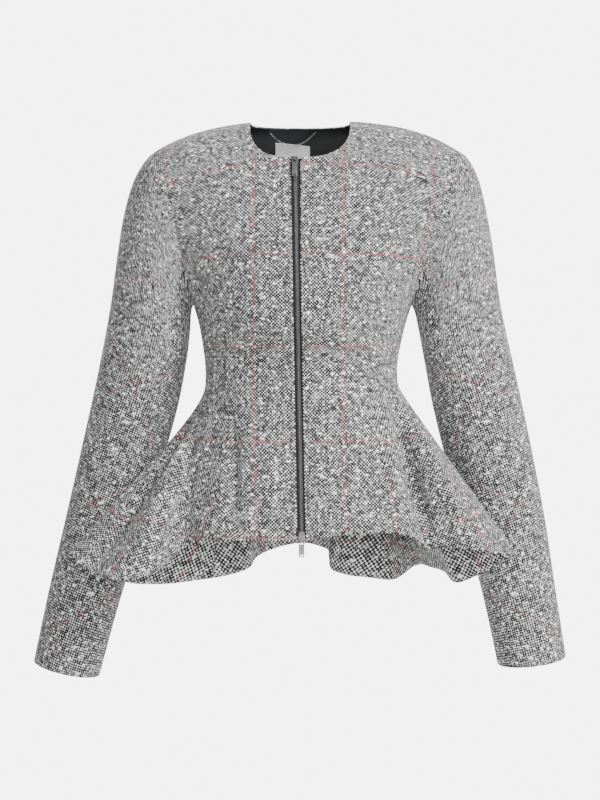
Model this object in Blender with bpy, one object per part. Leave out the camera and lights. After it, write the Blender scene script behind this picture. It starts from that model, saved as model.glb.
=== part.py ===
"""Collarless tweed jacket with a two-way zip and a fluted peplum, modelled as sewn cloth walls.

Metres, +Z up. The origin is the middle of the shoulders, where the wearer holds the jacket up.
The front faces -Y and the wearer's left is +X. Tables are in millimetres.
"""

import math
from collections import namedtuple

import bmesh
import bpy
import numpy as np

MM = 0.001

# Cloth, seams and trims
CLOTH = 2.4 * MM
SEAM_HALF = 0.2 * MM
LINING_GAP = 0.4 * MM
LINING = 1.0 * MM
LABEL_GAP = 0.6 * MM
LABEL = 0.6 * MM

# Levels up the body: the peplum hem, the waist, the armpit and the shoulder seam
HEM, WAIST, ARMPIT, SHOULDER = 0.0, 1.0, 2.0, 3.0

# Cross sections of the bodice from the waist up to the armpit
Section = namedtuple("Section", "z right_x left_x front_y back_y side_y")
BODICE = [
    Section(-289.0, -113.5, 117.0, -84.0, 80.0, 2.0),
    Section(-269.0, -114.0, 117.0, -87.0, 82.0, 3.0),
    Section(-245.0, -117.0, 121.0, -99.0, 89.0, 4.0),
    Section(-220.0, -121.5, 127.0, -111.5, 96.6, 4.0),
    Section(-198.0, -128.0, 134.0, -112.0, 97.0, 4.0),
]
# Sections of both sleeves, from the armhole down to the cuff: the outer and inner arm as seen from the front
SleeveRing = namedtuple(
    "SleeveRing",
    "right_outer_x right_outer_z right_inner_x right_inner_z"
    " left_outer_x left_outer_z left_inner_x left_inner_z mid_y half_depth front_drop",
)
SLEEVE = [
    SleeveRing(-169.0, -10.5, -128.0, -198.0, 183.0, -9.0, 134.0, -198.0, 4.0, 58.0, 0.0),
    SleeveRing(-184.0, -23.0, -129.5, -202.5, 201.0, -22.0, 136.0, -202.5, 4.0, 60.0, 0.0),
    SleeveRing(-199.5, -49.0, -130.5, -208.0, 214.5, -48.0, 138.0, -208.0, 5.0, 61.0, 0.0),
    SleeveRing(-211.0, -88.0, -131.0, -217.0, 224.0, -87.0, 140.0, -217.0, 6.0, 61.0, 0.0),
    SleeveRing(-219.0, -136.0, -132.0, -232.0, 232.5, -136.0, 143.0, -232.0, 8.0, 59.0, 0.0),
    SleeveRing(-228.0, -202.0, -135.5, -262.0, 241.5, -202.0, 148.5, -262.0, 15.0, 56.0, 0.0),
    SleeveRing(-243.5, -284.0, -146.0, -318.0, 259.5, -284.0, 159.0, -318.0, 34.0, 53.0, 0.0),
    SleeveRing(-261.5, -366.0, -167.5, -396.0, 277.0, -366.0, 178.0, -396.0, 54.0, 50.0, 0.0),
    SleeveRing(-281.0, -452.0, -192.0, -476.0, 293.5, -452.0, 201.0, -476.0, 66.0, 47.0, 0.0),
    SleeveRing(-301.0, -538.0, -217.5, -558.0, 306.5, -538.0, 221.5, -556.0, 68.0, 44.0, 1.5),
    SleeveRing(-319.5, -625.0, -240.5, -642.0, 319.0, -619.0, 237.0, -628.5, 62.0, 41.0, 6.0),
]
# Hem of the peplum: 0 is the centre front, 1 and -1 the side seams, 2 and -2 the centre back
HemFold = namedtuple("HemFold", "around x y z")
PEPLUM_HEM = [
    HemFold(-1.87, -38.0, 140.0, -492.0),
    HemFold(-1.78, -55.0, 119.0, -502.0),
    HemFold(-1.69, -62.0, 98.0, -513.0),
    HemFold(-1.58, -84.0, 82.0, -521.5),
    HemFold(-1.44, -126.0, 64.0, -528.5),
    HemFold(-1.32, -172.0, 38.0, -533.0),
    HemFold(-1.22, -214.0, 10.0, -529.0),
    HemFold(-1.13, -254.0, -4.0, -507.0),
    HemFold(-1.06, -276.0, -24.0, -494.0),
    HemFold(-1.01, -266.0, -46.0, -508.0),
    HemFold(-0.95, -250.0, -58.0, -518.0),
    HemFold(-0.89, -234.0, -82.0, -525.0),
    HemFold(-0.82, -204.0, -98.0, -527.0),
    HemFold(-0.75, -172.0, -86.0, -518.0),
    HemFold(-0.69, -152.0, -66.0, -502.0),
    HemFold(-0.62, -137.0, -62.0, -486.0),
    HemFold(-0.53, -116.0, -86.0, -477.0),
    HemFold(-0.41, -90.0, -101.0, -480.0),
    HemFold(-0.22, -50.0, -107.0, -480.0),
    HemFold(0.0, 2.0, -106.0, -481.0),
    HemFold(0.22, 52.0, -107.0, -474.0),
    HemFold(0.44, 100.0, -99.0, -471.0),
    HemFold(0.60, 138.0, -82.0, -478.0),
    HemFold(0.70, 156.0, -60.0, -490.0),
    HemFold(0.79, 182.0, -68.0, -489.0),
    HemFold(0.89, 220.0, -74.0, -493.0),
    HemFold(0.97, 250.0, -50.0, -498.0),
    HemFold(1.03, 262.0, -22.0, -499.0),
    HemFold(1.10, 244.0, -4.0, -504.0),
    HemFold(1.18, 212.0, 2.0, -523.0),
    HemFold(1.26, 188.0, 11.0, -531.0),
    HemFold(1.34, 175.0, 40.0, -518.0),
    HemFold(1.42, 157.0, 76.0, -512.0),
    HemFold(1.50, 145.0, 110.0, -509.0),
    HemFold(1.555, 134.0, 130.0, -513.0),
    HemFold(1.61, 122.0, 108.0, -522.0),
    HemFold(1.68, 109.0, 86.0, -528.0),
    HemFold(1.75, 82.0, 78.0, -525.0),
    HemFold(1.82, 54.0, 84.0, -521.0),
    HemFold(1.865, 38.0, 102.0, -513.0),
    HemFold(1.90, 37.0, 122.0, -494.0),
    HemFold(1.94, 24.0, 140.0, -487.0),
]
HEM_TURN = 4.0
PEPLUM_TURN = 0.08
PEPLUM_TURN_SWING = -0.045

# Sleeve and hem sizes are as seen by an eye this far in front of the origin and at this height
EYE_DISTANCE = 5.0
EYE_Z = -312.0 * MM

# Roundness of the arcs across the body, and the shoulder line over the ridge
ARC_FULLNESS = 1.03
SHOULDER_CENTRE_Z = 24.0 * MM
SHOULDER_LIFT = {-1: 27.0 * MM, 1: 31.0 * MM}
CHEST_POWER = {"front": 1.5, "back": 3.0}

# Neckline, an ellipse with squarer corners seen from the front, about the top of the zip
NECK_X = -6.6 * MM
NECK_HALF = {-1: 53.4 * MM, 1: 66.6 * MM}
NECK_TOP_Z = 22.0 * MM
NECK_DROP = {"front": 46.0 * MM, "back": 5.5 * MM}
NECK_POWER = 2.7
NECK_SHARES = {"front": (0.45, 0.7), "back": (0.5, 0.75, 0.92)}

# Princess seams: share of the arc from the centre to the side, and where the seam meets the armhole
PRINCESS = 0.5
PRINCESS_TIP = 0.95
PRINCESS_BEND = 1.5

# Zip, set between the fronts on a line that leans a little
ZIP_TOP = (-6.6 * MM, -24.0 * MM)
ZIP_FOOT = (1.8 * MM, -481.0 * MM)
ZIP_HALF = 4.8 * MM
CHAIN_HALF = 2.55 * MM
TAPE_HALF = 13.0 * MM
TAPE_GAP = 0.4 * MM
TAPE = 0.9 * MM
TAPE_SPLIT = 0.2 * MM

# Sliders and pull tabs, in across, down and outward sizes from the hinge axis
TOP_AXIS_Z = -28.0 * MM
BOTTOM_AXIS_Z = -477.0 * MM
TOP_NOSE, TOP_MOUTH = 6.5 * MM, -5.0 * MM
BOTTOM_NOSE, BOTTOM_MOUTH = -10.5 * MM, 3.0 * MM
SLIDER_SHOULDER = 0.4
SLIDER_GAP = 0.3 * MM
SLIDER_PLATE = 1.7 * MM
SLIDER_HALF = 4.2 * MM
SLIDER_NOSE_HALF = 3.0 * MM
AXIS_RISE = 1.3 * MM
BRIDGE_HALF = 1.1 * MM
BRIDGE_INNER = 1.35 * MM
BRIDGE_OUTER = 2.4 * MM
BRIDGE_STRAP = 0.9 * MM
PULL_HALF = 3.3 * MM
PULL_WINDOW_HALF = 1.9 * MM
PULL_BAR_HALF = 0.7 * MM
PULL_WINDOW_END = 5.0 * MM
PULL_SLOT_FROM_END = (2.8 * MM, 1.2 * MM)
TOP_PULL_LENGTH = 24.5 * MM
BOTTOM_PULL_LENGTH = 20.0 * MM
PULL_THICK = 1.2 * MM

# Trims inside the back neck
LABEL_X = (-30.0 * MM, 12.0 * MM)
LABEL_ROWS = (1, 4)
HANGER_X = (-36.0 * MM, 18.0 * MM)
HANGER_END_Z = 16.5 * MM
HANGER_LOW_Z = 1.5 * MM
HANGER_RADIUS = 1.2 * MM
HANGER_GAP = 1.6 * MM
HANGER_POINTS = 21

# Grid sizes
FRONT_COLUMNS = 10
SIDE_FRONT_COLUMNS = 12
SIDE_BACK_COLUMNS = 11
BACK_COLUMNS = 10
PEPLUM_STEPS = 9
BODICE_STEPS = 4
ROWS_TO_NECK = 9
FRONT_TIP_ROW = 5
BACK_TIP_ROW = 6
SLEEVE_STEPS = 13
SLEEVE_SPACING = 1.25
PEPLUM_SPACING = 1.5
SLEEVE_FRONT_ROW = 4
SLEEVE_BACK_ROW = 5
HEM_SAMPLES = 400

# Limits of the sums: steps of halving, widest share from the centre, steepest arc end, sharpest mitre
HALVINGS = 44
NEAR_CENTRE = 0.4
STEEPEST = 0.95
SHARPEST = 0.7
DIFFERENCE = 1e-4
TINY = 1e-6
SHARP_EDGE = math.radians(40.0)

SIDES = {"right": -1, "left": 1}


def column(table, name):
    """One named column of a table, as an array."""
    return np.array([getattr(row, name) for row in table])


def smooth(knots, values, at):
    """Cubic Hermite curve through the values; each slope is that of the parabola through its neighbours."""
    knots = np.asarray(knots, float)
    slopes = np.gradient(values, knots)
    place = np.clip(np.searchsorted(knots, at, side="right") - 1, 0, len(knots) - 2)
    width = knots[place + 1] - knots[place]
    s = (at - knots[place]) / width
    rise = values[place + 1] - values[place]
    start = slopes[place] * width
    finish = slopes[place + 1] * width
    return values[place] + s * (start + s * (3 * rise - 2 * start - finish + s * (start + finish - 2 * rise)))


def unit(vectors):
    """Vectors scaled to length one."""
    return vectors / np.linalg.norm(vectors, axis=-1, keepdims=True)


def stack(x, y, z):
    """Points from separate coordinates."""
    return np.stack(np.broadcast_arrays(x, y, z), axis=-1)


def solve(rising, low, high):
    """Where a rising function crosses zero between two bounds, by halving whole arrays."""
    for _ in range(HALVINGS):
        middle = (low + high) / 2
        above = rising(middle) > 0
        high = np.where(above, middle, high)
        low = np.where(above, low, middle)
    return (low + high) / 2


def true_place(x, y, z):
    """Point whose x and z are as seen in the plane of the origin, moved along the sight line to depth y."""
    nearness = 1.0 + y / EYE_DISTANCE
    return stack(x * nearness, y, EYE_Z + (z - EYE_Z) * nearness)


def sleeve(side, angle, along):
    """Sleeve skin: an ellipse at each section, angle 0 at the outer arm and a quarter turn at the front."""
    knots = np.linspace(0.0, 1.0, len(SLEEVE))
    ring = {name: smooth(knots, column(SLEEVE, name), along) * MM for name in SleeveRing._fields}
    label = "left" if side > 0 else "right"
    outer_x = ring[label + "_outer_x"]
    inner_x = ring[label + "_inner_x"]
    swing = np.cos(angle)
    x = (outer_x + inner_x) / 2 + (outer_x - inner_x) / 2 * swing
    outer_z = ring[label + "_outer_z"]
    inner_z = ring[label + "_inner_z"]
    z = (outer_z + inner_z) / 2 + (outer_z - inner_z) / 2 * swing - ring["front_drop"] * np.sin(angle)
    y = ring["mid_y"] - ring["half_depth"] * np.sin(angle)
    return true_place(x, ring["mid_y"], z) * (1.0, 0.0, 1.0) + stack(0.0, y, 0.0)


def armhole(face, side, height):
    """Edge of the armhole, from the armpit at 0 to the shoulder at 1: the first section of the sleeve."""
    turn = 1.0 - height if face == "front" else 1.0 + height
    return sleeve(side, math.pi * turn, np.zeros_like(height))


def bodice(face, t, level):
    """Skin above the waist: an arc from the centre line (t 0) to the side or armhole (t 1 or -1).

    Each arc is a quarter of an ellipse as one cubic; above the armpit the armhole cuts it short.
    """
    side = np.where(t >= 0, 1.0, -1.0)
    body = np.clip(level, WAIST, ARMPIT)
    knots = np.linspace(WAIST, ARMPIT, len(BODICE))
    low = {name: smooth(knots, column(BODICE, name), body) * MM for name in Section._fields}
    height = np.clip(level - ARMPIT, 0.0, 1.0 - TINY)
    rise = np.sin(math.pi * height / 2) ** 2
    fall = np.sqrt(np.clip(1.0 - rise ** CHEST_POWER[face], 0.0, 1.0))
    chest_y = low[face + "_y"]
    upper = level > ARMPIT
    depth = (chest_y - low["side_y"]) * np.where(upper, fall, 1.0)
    centre_z = low["z"] + (SHOULDER_CENTRE_Z - low["z"]) * rise
    centre = stack(0.0 * t, low["side_y"] + depth, centre_z)
    flank = true_place(np.where(side > 0, low["left_x"], low["right_x"]), low["side_y"], low["z"])
    hole = np.where(side[..., None] > 0, armhole(face, 1, height), armhole(face, -1, height))
    edge = np.where(upper[..., None], hole, flank)
    turned = np.arcsin(np.clip((edge[..., 1] - low["side_y"]) / depth, 0.0, STEEPEST))
    handle = ARC_FULLNESS * 4.0 / 3.0 * np.tan((math.pi / 2 - turned) / 4)
    half_width = edge[..., 0] / np.cos(turned)
    reach = stack(handle * half_width, 0.0, 0.0)
    lift = np.where(side > 0, SHOULDER_LIFT[1], SHOULDER_LIFT[-1]) * rise
    pull = stack(-handle * half_width * np.sin(turned), handle * depth * np.cos(turned), lift)
    s = np.abs(t)[..., None]
    r = 1.0 - s
    return r ** 3 * centre + 3 * r * r * s * (centre + reach) + 3 * r * s * s * (edge + pull) + s ** 3 * edge


def around(face, t):
    """Place round the body: 0 centre front, 1 and -1 the sides, 2 and -2 the centre back."""
    return t if face == "front" else np.where(t >= 0, 2.0, -2.0) - t


def hem_line(place):
    """Peplum hem: a closed smooth curve through the folds of the table."""
    turns = column(PEPLUM_HEM, "around")
    knots = np.concatenate([turns[-3:] - HEM_TURN, turns, turns[:3] + HEM_TURN])
    wrapped = (place + HEM_TURN / 2) % HEM_TURN - HEM_TURN / 2
    coordinates = []
    for name in ("x", "y", "z"):
        values = column(PEPLUM_HEM, name) * MM
        values = np.concatenate([values[-3:], values, values[:3]])
        coordinates.append(smooth(knots, values, wrapped))
    return true_place(*coordinates)


def skin(face, t, level):
    """Outer face of the body: the bodice, and below the waist straight flutes that swing out to the hem."""
    t, level = np.broadcast_arrays(np.asarray(t, float), np.asarray(level, float))
    top = bodice(face, t, np.maximum(level, WAIST))
    drop = np.clip(WAIST - level, 0.0, 1.0)
    place = around(face, t)
    turn = PEPLUM_TURN + PEPLUM_TURN_SWING * np.sin(math.pi / 2 * place)
    whole = 1.0 - turn * (1.0 - np.exp(-1.0 / turn))
    spread = (drop - turn * (1.0 - np.exp(-drop / turn))) / whole
    hem = hem_line(place)
    return top + (hem - top) * stack(spread, spread, drop)


def ring(place, level):
    """Skin below the armpit by its place round the body."""
    wrapped = (place + HEM_TURN / 2) % HEM_TURN - HEM_TURN / 2
    front = skin("front", np.clip(wrapped, -1.0, 1.0), level)
    back_t = np.where(wrapped >= 0, 2.0, -2.0) - wrapped
    back = skin("back", np.clip(back_t, -1.0, 1.0), level)
    return np.where((np.abs(wrapped) <= 1.0)[..., None], front, back)


def sleeve_normal(side, angle, along):
    """Outward direction of the sleeve skin."""
    turn = sleeve(side, angle + DIFFERENCE, along) - sleeve(side, angle - DIFFERENCE, along)
    late = np.minimum(along + DIFFERENCE, 1.0)
    early = np.maximum(along - DIFFERENCE, 0.0)
    normal = unit(np.cross(turn, sleeve(side, angle, late) - sleeve(side, angle, early)))
    return normal * side


def skin_normal(face, t, level):
    """Outward direction of the body skin, the same on both panels of a seam."""
    t, level = np.broadcast_arrays(np.asarray(t, float), np.asarray(level, float))
    place = around(face, t)
    low = np.minimum(level, ARMPIT)
    round_body = ring(place + DIFFERENCE, low) - ring(place - DIFFERENCE, low)
    further = skin(face, np.minimum(t + DIFFERENCE, 1.0), level)
    nearer = skin(face, np.maximum(t - DIFFERENCE, -1.0), level)
    across = further - nearer if face == "front" else nearer - further
    across = np.where((level > ARMPIT)[..., None], across, round_body)
    higher = skin(face, t, np.minimum(level + DIFFERENCE, SHOULDER))
    lower = skin(face, t, np.maximum(level - DIFFERENCE, HEM))
    return unit(np.cross(across, higher - lower))


def mitre(first, second):
    """Direction halfway between two walls that meet, lengthened so that both keep their thickness."""
    half = unit(first + second)
    return half / np.maximum(np.sum(half * first, axis=-1, keepdims=True), SHARPEST)


def armhole_out(face, side, height):
    """Shared direction through the wall where the body meets the sleeve."""
    turn = 1.0 - height if face == "front" else 1.0 + height
    from_body = skin_normal(face, float(side) * np.ones_like(height), ARMPIT + height)
    from_sleeve = sleeve_normal(side, math.pi * turn, np.zeros_like(height))
    return mitre(from_body, from_sleeve)


def level_of(face, z):
    """Level at which the centre line of a face reaches a height."""
    def above(level):
        return skin(face, 0.0, level)[..., 2] - z

    return solve(above, np.full_like(z, HEM), np.full_like(z, SHOULDER))


def across_at(face, x, level):
    """Share of the arc at which a face reaches a distance across."""
    reach = np.full_like(level, NEAR_CENTRE)
    return solve(lambda t: skin(face, t, level)[..., 0] - x, -reach, reach)


def zip_x(z):
    """Centre of the zip at a height."""
    return np.interp(z, [ZIP_FOOT[1], ZIP_TOP[1]], [ZIP_FOOT[0], ZIP_TOP[0]])


def zip_edge(offset, level):
    """Share of the front arc at a distance from the centre of the zip."""
    reach = np.full_like(level, NEAR_CENTRE)

    def beyond(t):
        point = skin("front", t, level)
        return point[..., 0] - zip_x(point[..., 2]) - offset

    return solve(beyond, -reach, reach)


def neck_edge(face, side, level):
    """Share of the arc at which a face leaves the neckline, an ellipse with squarer corners."""
    def outside(t):
        point = skin(face, side * t, level)
        over = np.abs(point[..., 0] - NECK_X) / NECK_HALF[side]
        under = np.maximum(NECK_TOP_Z - point[..., 2], 0.0) / NECK_DROP[face]
        return over ** NECK_POWER + under ** NECK_POWER - 1.0

    found = solve(outside, np.zeros_like(level), np.ones_like(level))
    return np.where(level > ARMPIT, found, 0.0)


def princess(tip_height, level):
    """Share of the arc at a princess seam: straight below the armpit, then bending into the armhole."""
    height = np.clip(level - ARMPIT, 0.0, tip_height) / tip_height
    return PRINCESS + (PRINCESS_TIP - PRINCESS) * height ** PRINCESS_BEND


def upper_heights():
    """Rows from the armpit to the shoulder seam, with a row at the bottom of each neckline."""
    front_neck = float(level_of("front", np.array(ZIP_TOP[1]))) - ARMPIT
    back_neck = float(level_of("back", np.array(NECK_TOP_Z - NECK_DROP["back"]))) - ARMPIT
    return np.concatenate([
        np.linspace(0.0, front_neck, ROWS_TO_NECK + 1),
        np.linspace(front_neck, back_neck, 3)[1:],
        np.linspace(back_neck, 1.0, 3)[1:],
    ])


def lower_levels():
    """Rows from the hem to the armpit, closer together where the peplum turns out of the waist."""
    peplum = WAIST - np.linspace(1.0, 0.0, PEPLUM_STEPS + 1) ** PEPLUM_SPACING
    return np.concatenate([peplum[:-1], np.linspace(WAIST, ARMPIT, BODICE_STEPS + 1)])


def hem_shares(face, first, last, columns):
    """Column places that share the hem between two seams into equal lengths."""
    fine = np.linspace(0.0, 1.0, HEM_SAMPLES)
    points = skin(face, first + (last - first) * fine, HEM)
    run = np.concatenate([[0.0], np.cumsum(np.linalg.norm(np.diff(points, axis=0), axis=-1))])
    return np.interp(np.linspace(0.0, run[-1], columns + 1), run, fine)


def panel(face, side, levels, first, last, columns):
    """Outer points and outward directions of a panel between two seams, one row for each level.

    A row that ends on the armhole ends on the straight lines between the points it shares with the sleeve.
    """
    even = np.linspace(0.0, 1.0, columns + 1)
    by_hem = hem_shares(face, first[0], last[0], columns)
    blend = np.clip(levels, 0.0, 1.0)[:, None]
    share = by_hem * (1.0 - blend) + even * blend
    t = first[:, None] + (last - first)[:, None] * share
    level = np.broadcast_to(levels[:, None], t.shape)
    points = skin(face, t, level)
    outward = skin_normal(face, t, level)
    on_armhole = (np.abs(last) > 1.0 - TINY) & (levels >= ARMPIT)
    heights = upper_heights()
    edges = ((points, armhole(face, side, heights)), (outward, armhole_out(face, side, heights)))
    for grid, shared in edges:
        for axis in range(3):
            grid[on_armhole, -1, axis] = np.interp(levels[on_armhole] - ARMPIT, heights, shared[:, axis])
    return points, outward


def pulled_in(grid, like):
    """Grid with its four edges drawn in by half a seam gap, along the rows and columns of another grid."""
    moved = grid.copy()
    for edge, inside in ((0, 1), (-1, -2)):
        moved[:, edge] += SEAM_HALF * unit(like[:, inside] - like[:, edge])
        moved[edge, :] += SEAM_HALF * unit(like[inside, :] - like[edge, :])
    return moved


def wall_faces(rows, columns):
    """Faces of a closed wall whose outer grid of points is followed by its inner grid."""
    index = np.arange(rows * columns).reshape(rows, columns)
    corners = (index[:-1, :-1], index[:-1, 1:], index[1:, 1:], index[1:, :-1])
    outer = np.stack(corners, axis=-1).reshape(-1, 4)
    inner = outer[:, ::-1] + rows * columns
    border = np.concatenate([index[0, :], index[1:, -1], index[-1, -2::-1], index[-2:0:-1, 0]])
    following = np.roll(border, -1)
    rim = np.stack([following, border, border + rows * columns, following + rows * columns], axis=-1)
    return np.concatenate([outer, inner, rim])


def material(name, colour, roughness, metallic=0.0):
    """Principled material of one colour."""
    made = bpy.data.materials.new(name)
    made.use_nodes = True
    shader = made.node_tree.nodes["Principled BSDF"]
    shader.inputs["Base Color"].default_value = (*colour, 1.0)
    shader.inputs["Roughness"].default_value = roughness
    shader.inputs["Metallic"].default_value = metallic
    return made


def add_object(name, points, faces, finish):
    """One closed solid, with its faces turned outward and shaded smooth."""
    mesh = bpy.data.meshes.new(name)
    mesh.from_pydata(points.tolist(), [], faces.tolist())
    work = bmesh.new()
    work.from_mesh(mesh)
    bmesh.ops.recalc_face_normals(work, faces=work.faces)
    work.to_mesh(mesh)
    work.free()
    mesh.shade_smooth()
    mesh.set_sharp_from_angle(angle=SHARP_EDGE)
    mesh.materials.append(finish)
    made = bpy.data.objects.new(name, mesh)
    bpy.context.scene.collection.objects.link(made)
    return made


def add_wall(name, outer, inner, finish):
    """Closed wall between two grids of points."""
    rows, columns = outer.shape[:2]
    points = np.concatenate([outer.reshape(-1, 3), inner.reshape(-1, 3)])
    return add_object(name, points, wall_faces(rows, columns), finish)


def add_cloth(name, outer, outward, finish):
    """Cloth wall under an outer skin, drawn in from its seams."""
    inner = outer - CLOTH * outward
    return add_wall(name, pulled_in(outer, outer), pulled_in(inner, outer), finish)


def main_levels(face, tip_height):
    """All the rows of a front or back, with more just above its side panel's tip and round the neckline."""
    tip_step = 2.0 * SEAM_HALF / (math.pi * SLEEVE[0].half_depth * MM)
    under = (1.0 - np.power(NECK_SHARES[face], NECK_POWER)) ** (1.0 / NECK_POWER)
    low_neck = NECK_TOP_Z - NECK_DROP[face] * under
    neck_rows = level_of(face, low_neck) - ARMPIT
    heights = np.sort(np.concatenate([upper_heights(), [tip_height + tip_step], neck_rows]))
    return np.concatenate([lower_levels(), ARMPIT + heights[1:]])


def side_levels(tip_height):
    """Rows of a side panel, from the hem to its tip on the armhole."""
    heights = upper_heights()
    return np.concatenate([lower_levels(), ARMPIT + heights[(heights > 0.0) & (heights <= tip_height)]])


def add_fronts(tweed):
    """Fronts from the zip edge and neckline to the princess seam, and side fronts on to the side seam."""
    tip = upper_heights()[FRONT_TIP_ROW]
    for word, side in SIDES.items():
        levels = main_levels("front", tip)
        first = np.maximum(side * zip_edge(side * ZIP_HALF, levels), neck_edge("front", side, levels))
        last = np.where(levels > ARMPIT + tip, 1.0, princess(tip, levels))
        add_cloth(
            "front_" + word,
            *panel("front", side, levels, side * first, side * last, FRONT_COLUMNS), tweed)
        levels = side_levels(tip)
        first = princess(tip, levels)
        last = np.ones_like(levels)
        add_cloth(
            "side_front_" + word,
            *panel("front", side, levels, side * first, side * last, SIDE_FRONT_COLUMNS), tweed)


def add_backs(tweed):
    """Backs from the centre back to the princess seam, and side backs on to the side seam."""
    tip = upper_heights()[BACK_TIP_ROW]
    for word, side in SIDES.items():
        levels = main_levels("back", tip)
        first = neck_edge("back", side, levels)
        last = np.where(levels > ARMPIT + tip, 1.0, princess(tip, levels))
        add_cloth(
            "back_" + word,
            *panel("back", side, levels, side * first, side * last, BACK_COLUMNS), tweed)
        levels = side_levels(tip)
        first = princess(tip, levels)
        last = np.ones_like(levels)
        add_cloth(
            "side_back_" + word,
            *panel("back", side, levels, side * first, side * last, SIDE_BACK_COLUMNS), tweed)


def add_sleeves(tweed):
    """Two-piece sleeves: the upper half round the outer arm, the under half round the inner arm."""
    heights = upper_heights()
    front_seam = 1.0 - heights[SLEEVE_FRONT_ROW]
    back_seam = 1.0 + heights[SLEEVE_BACK_ROW]
    turns = np.concatenate([1.0 - heights[::-1], 1.0 + heights[1:]])
    under = turns[(turns >= front_seam - TINY) & (turns <= back_seam + TINY)]
    behind = turns[turns >= back_seam - TINY] - 2.0
    before = turns[(turns > 0.0) & (turns <= front_seam + TINY)]
    upper = np.concatenate([behind, before])
    along = np.linspace(0.0, 1.0, SLEEVE_STEPS + 1) ** SLEEVE_SPACING
    for word, side in SIDES.items():
        for part, part_turns in (("upper", upper), ("under", under)):
            angle = np.broadcast_to(math.pi * part_turns, (len(along), len(part_turns)))
            run = np.broadcast_to(along[:, None], angle.shape)
            outward = sleeve_normal(side, angle, run).copy()
            turn = part_turns % 2.0
            at_front = turn <= 1.0
            height = np.abs(1.0 - turn)
            outward[0, at_front] = armhole_out("front", side, height[at_front])
            outward[0, ~at_front] = armhole_out("back", side, height[~at_front])
            add_cloth(f"{part}_sleeve_{word}", sleeve(side, angle, run), outward, tweed)


def zip_strip(levels, offsets, depths):
    """Outer and inner grids of a strip along the zip, between two distances across and two depths."""
    t = np.stack([zip_edge(offset, levels) for offset in offsets], axis=-1)
    level = np.broadcast_to(levels[:, None], t.shape)
    points = skin("front", t, level)
    outward = skin_normal("front", t, level)
    return points - depths[0] * outward, points - depths[1] * outward


def add_zip(tape_finish, metal):
    """Zip tapes behind the edges of the fronts, and the chain that they carry between the edges."""
    heights = upper_heights()
    levels = np.concatenate([lower_levels(), ARMPIT + heights[1:ROWS_TO_NECK + 1]])
    behind = CLOTH + TAPE_GAP
    for word, side in SIDES.items():
        offsets = (side * TAPE_SPLIT, side * ZIP_HALF, side * TAPE_HALF)
        add_wall("zip_tape_" + word, *zip_strip(levels, offsets, (behind, behind + TAPE)), tape_finish)
    add_wall("zip_chain", *zip_strip(levels, (-CHAIN_HALF, CHAIN_HALF), (0.0, CLOTH)), metal)


def zip_frame(z):
    """Point on the face of the zip at a height, and its across, down and outward directions."""
    level = level_of("front", np.array(z))
    t = zip_edge(0.0, level)
    point = skin("front", t, level)
    outward = skin_normal("front", t, level) * np.array([0.0, 1.0, 1.0])
    outward = unit(outward)
    across = np.array([1.0, 0.0, 0.0])
    return point, across, unit(np.cross(across, outward)), outward


def placed(frame, sizes):
    """World points from across, down and outward sizes in a frame."""
    point, across, down, outward = frame
    sizes = np.asarray(sizes, float)
    return point + sizes[:, :1] * across + sizes[:, 1:2] * down + sizes[:, 2:] * outward


def prism(outline, low, high, place):
    """Points and faces of an outline given two heights; place turns outline and height into sizes."""
    count = len(outline)
    points = [place(a, b, low) for a, b in outline] + [place(a, b, high) for a, b in outline]
    sides = [[i, (i + 1) % count, count + (i + 1) % count, count + i] for i in range(count)]
    return points, [list(range(count)), list(range(count, 2 * count))] + sides


def add_prism(name, frame, outline, low, high, place, finish):
    """One extruded solid in a frame of the zip."""
    points, faces = prism(outline, low, high, place)
    mesh_points = placed(frame, points)
    made = bpy.data.meshes.new(name)
    made.from_pydata(mesh_points.tolist(), [], faces)
    work = bmesh.new()
    work.from_mesh(made)
    bmesh.ops.recalc_face_normals(work, faces=work.faces)
    work.to_mesh(made)
    work.free()
    made.materials.append(finish)
    solid = bpy.data.objects.new(name, made)
    bpy.context.scene.collection.objects.link(solid)
    return solid


def add_slider(name, frame, nose, mouth, metal):
    """Slider: a tapered plate on the chain, joined to a bridge that the pull tab hangs from."""
    front = SLIDER_GAP + SLIDER_PLATE
    axis = front + AXIS_RISE
    shoulder = nose + (mouth - nose) * SLIDER_SHOULDER
    outline = [
        (-SLIDER_NOSE_HALF, nose), (SLIDER_NOSE_HALF, nose), (SLIDER_HALF, shoulder),
        (SLIDER_HALF, mouth), (-SLIDER_HALF, mouth), (-SLIDER_HALF, shoulder),
    ]
    plate = add_prism(name, frame, outline, SLIDER_GAP, front, lambda a, b, c: (a, b, c), metal)
    strap = axis + BRIDGE_INNER
    root = front - SLIDER_PLATE / 2
    arch = [
        (-BRIDGE_OUTER, root), (-BRIDGE_INNER, root), (-BRIDGE_INNER, strap), (BRIDGE_INNER, strap),
        (BRIDGE_INNER, root), (BRIDGE_OUTER, root), (BRIDGE_OUTER, strap + BRIDGE_STRAP),
        (-BRIDGE_OUTER, strap + BRIDGE_STRAP),
    ]
    bridge = add_prism(
        name + "_bridge", frame, arch, -BRIDGE_HALF, BRIDGE_HALF, lambda b, c, a: (a, b, c), metal)
    bridge.hide_render = True
    bridge.display_type = "WIRE"
    union = plate.modifiers.new("bridge", "BOOLEAN")
    union.operation = "UNION"
    union.object = bridge


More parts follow.
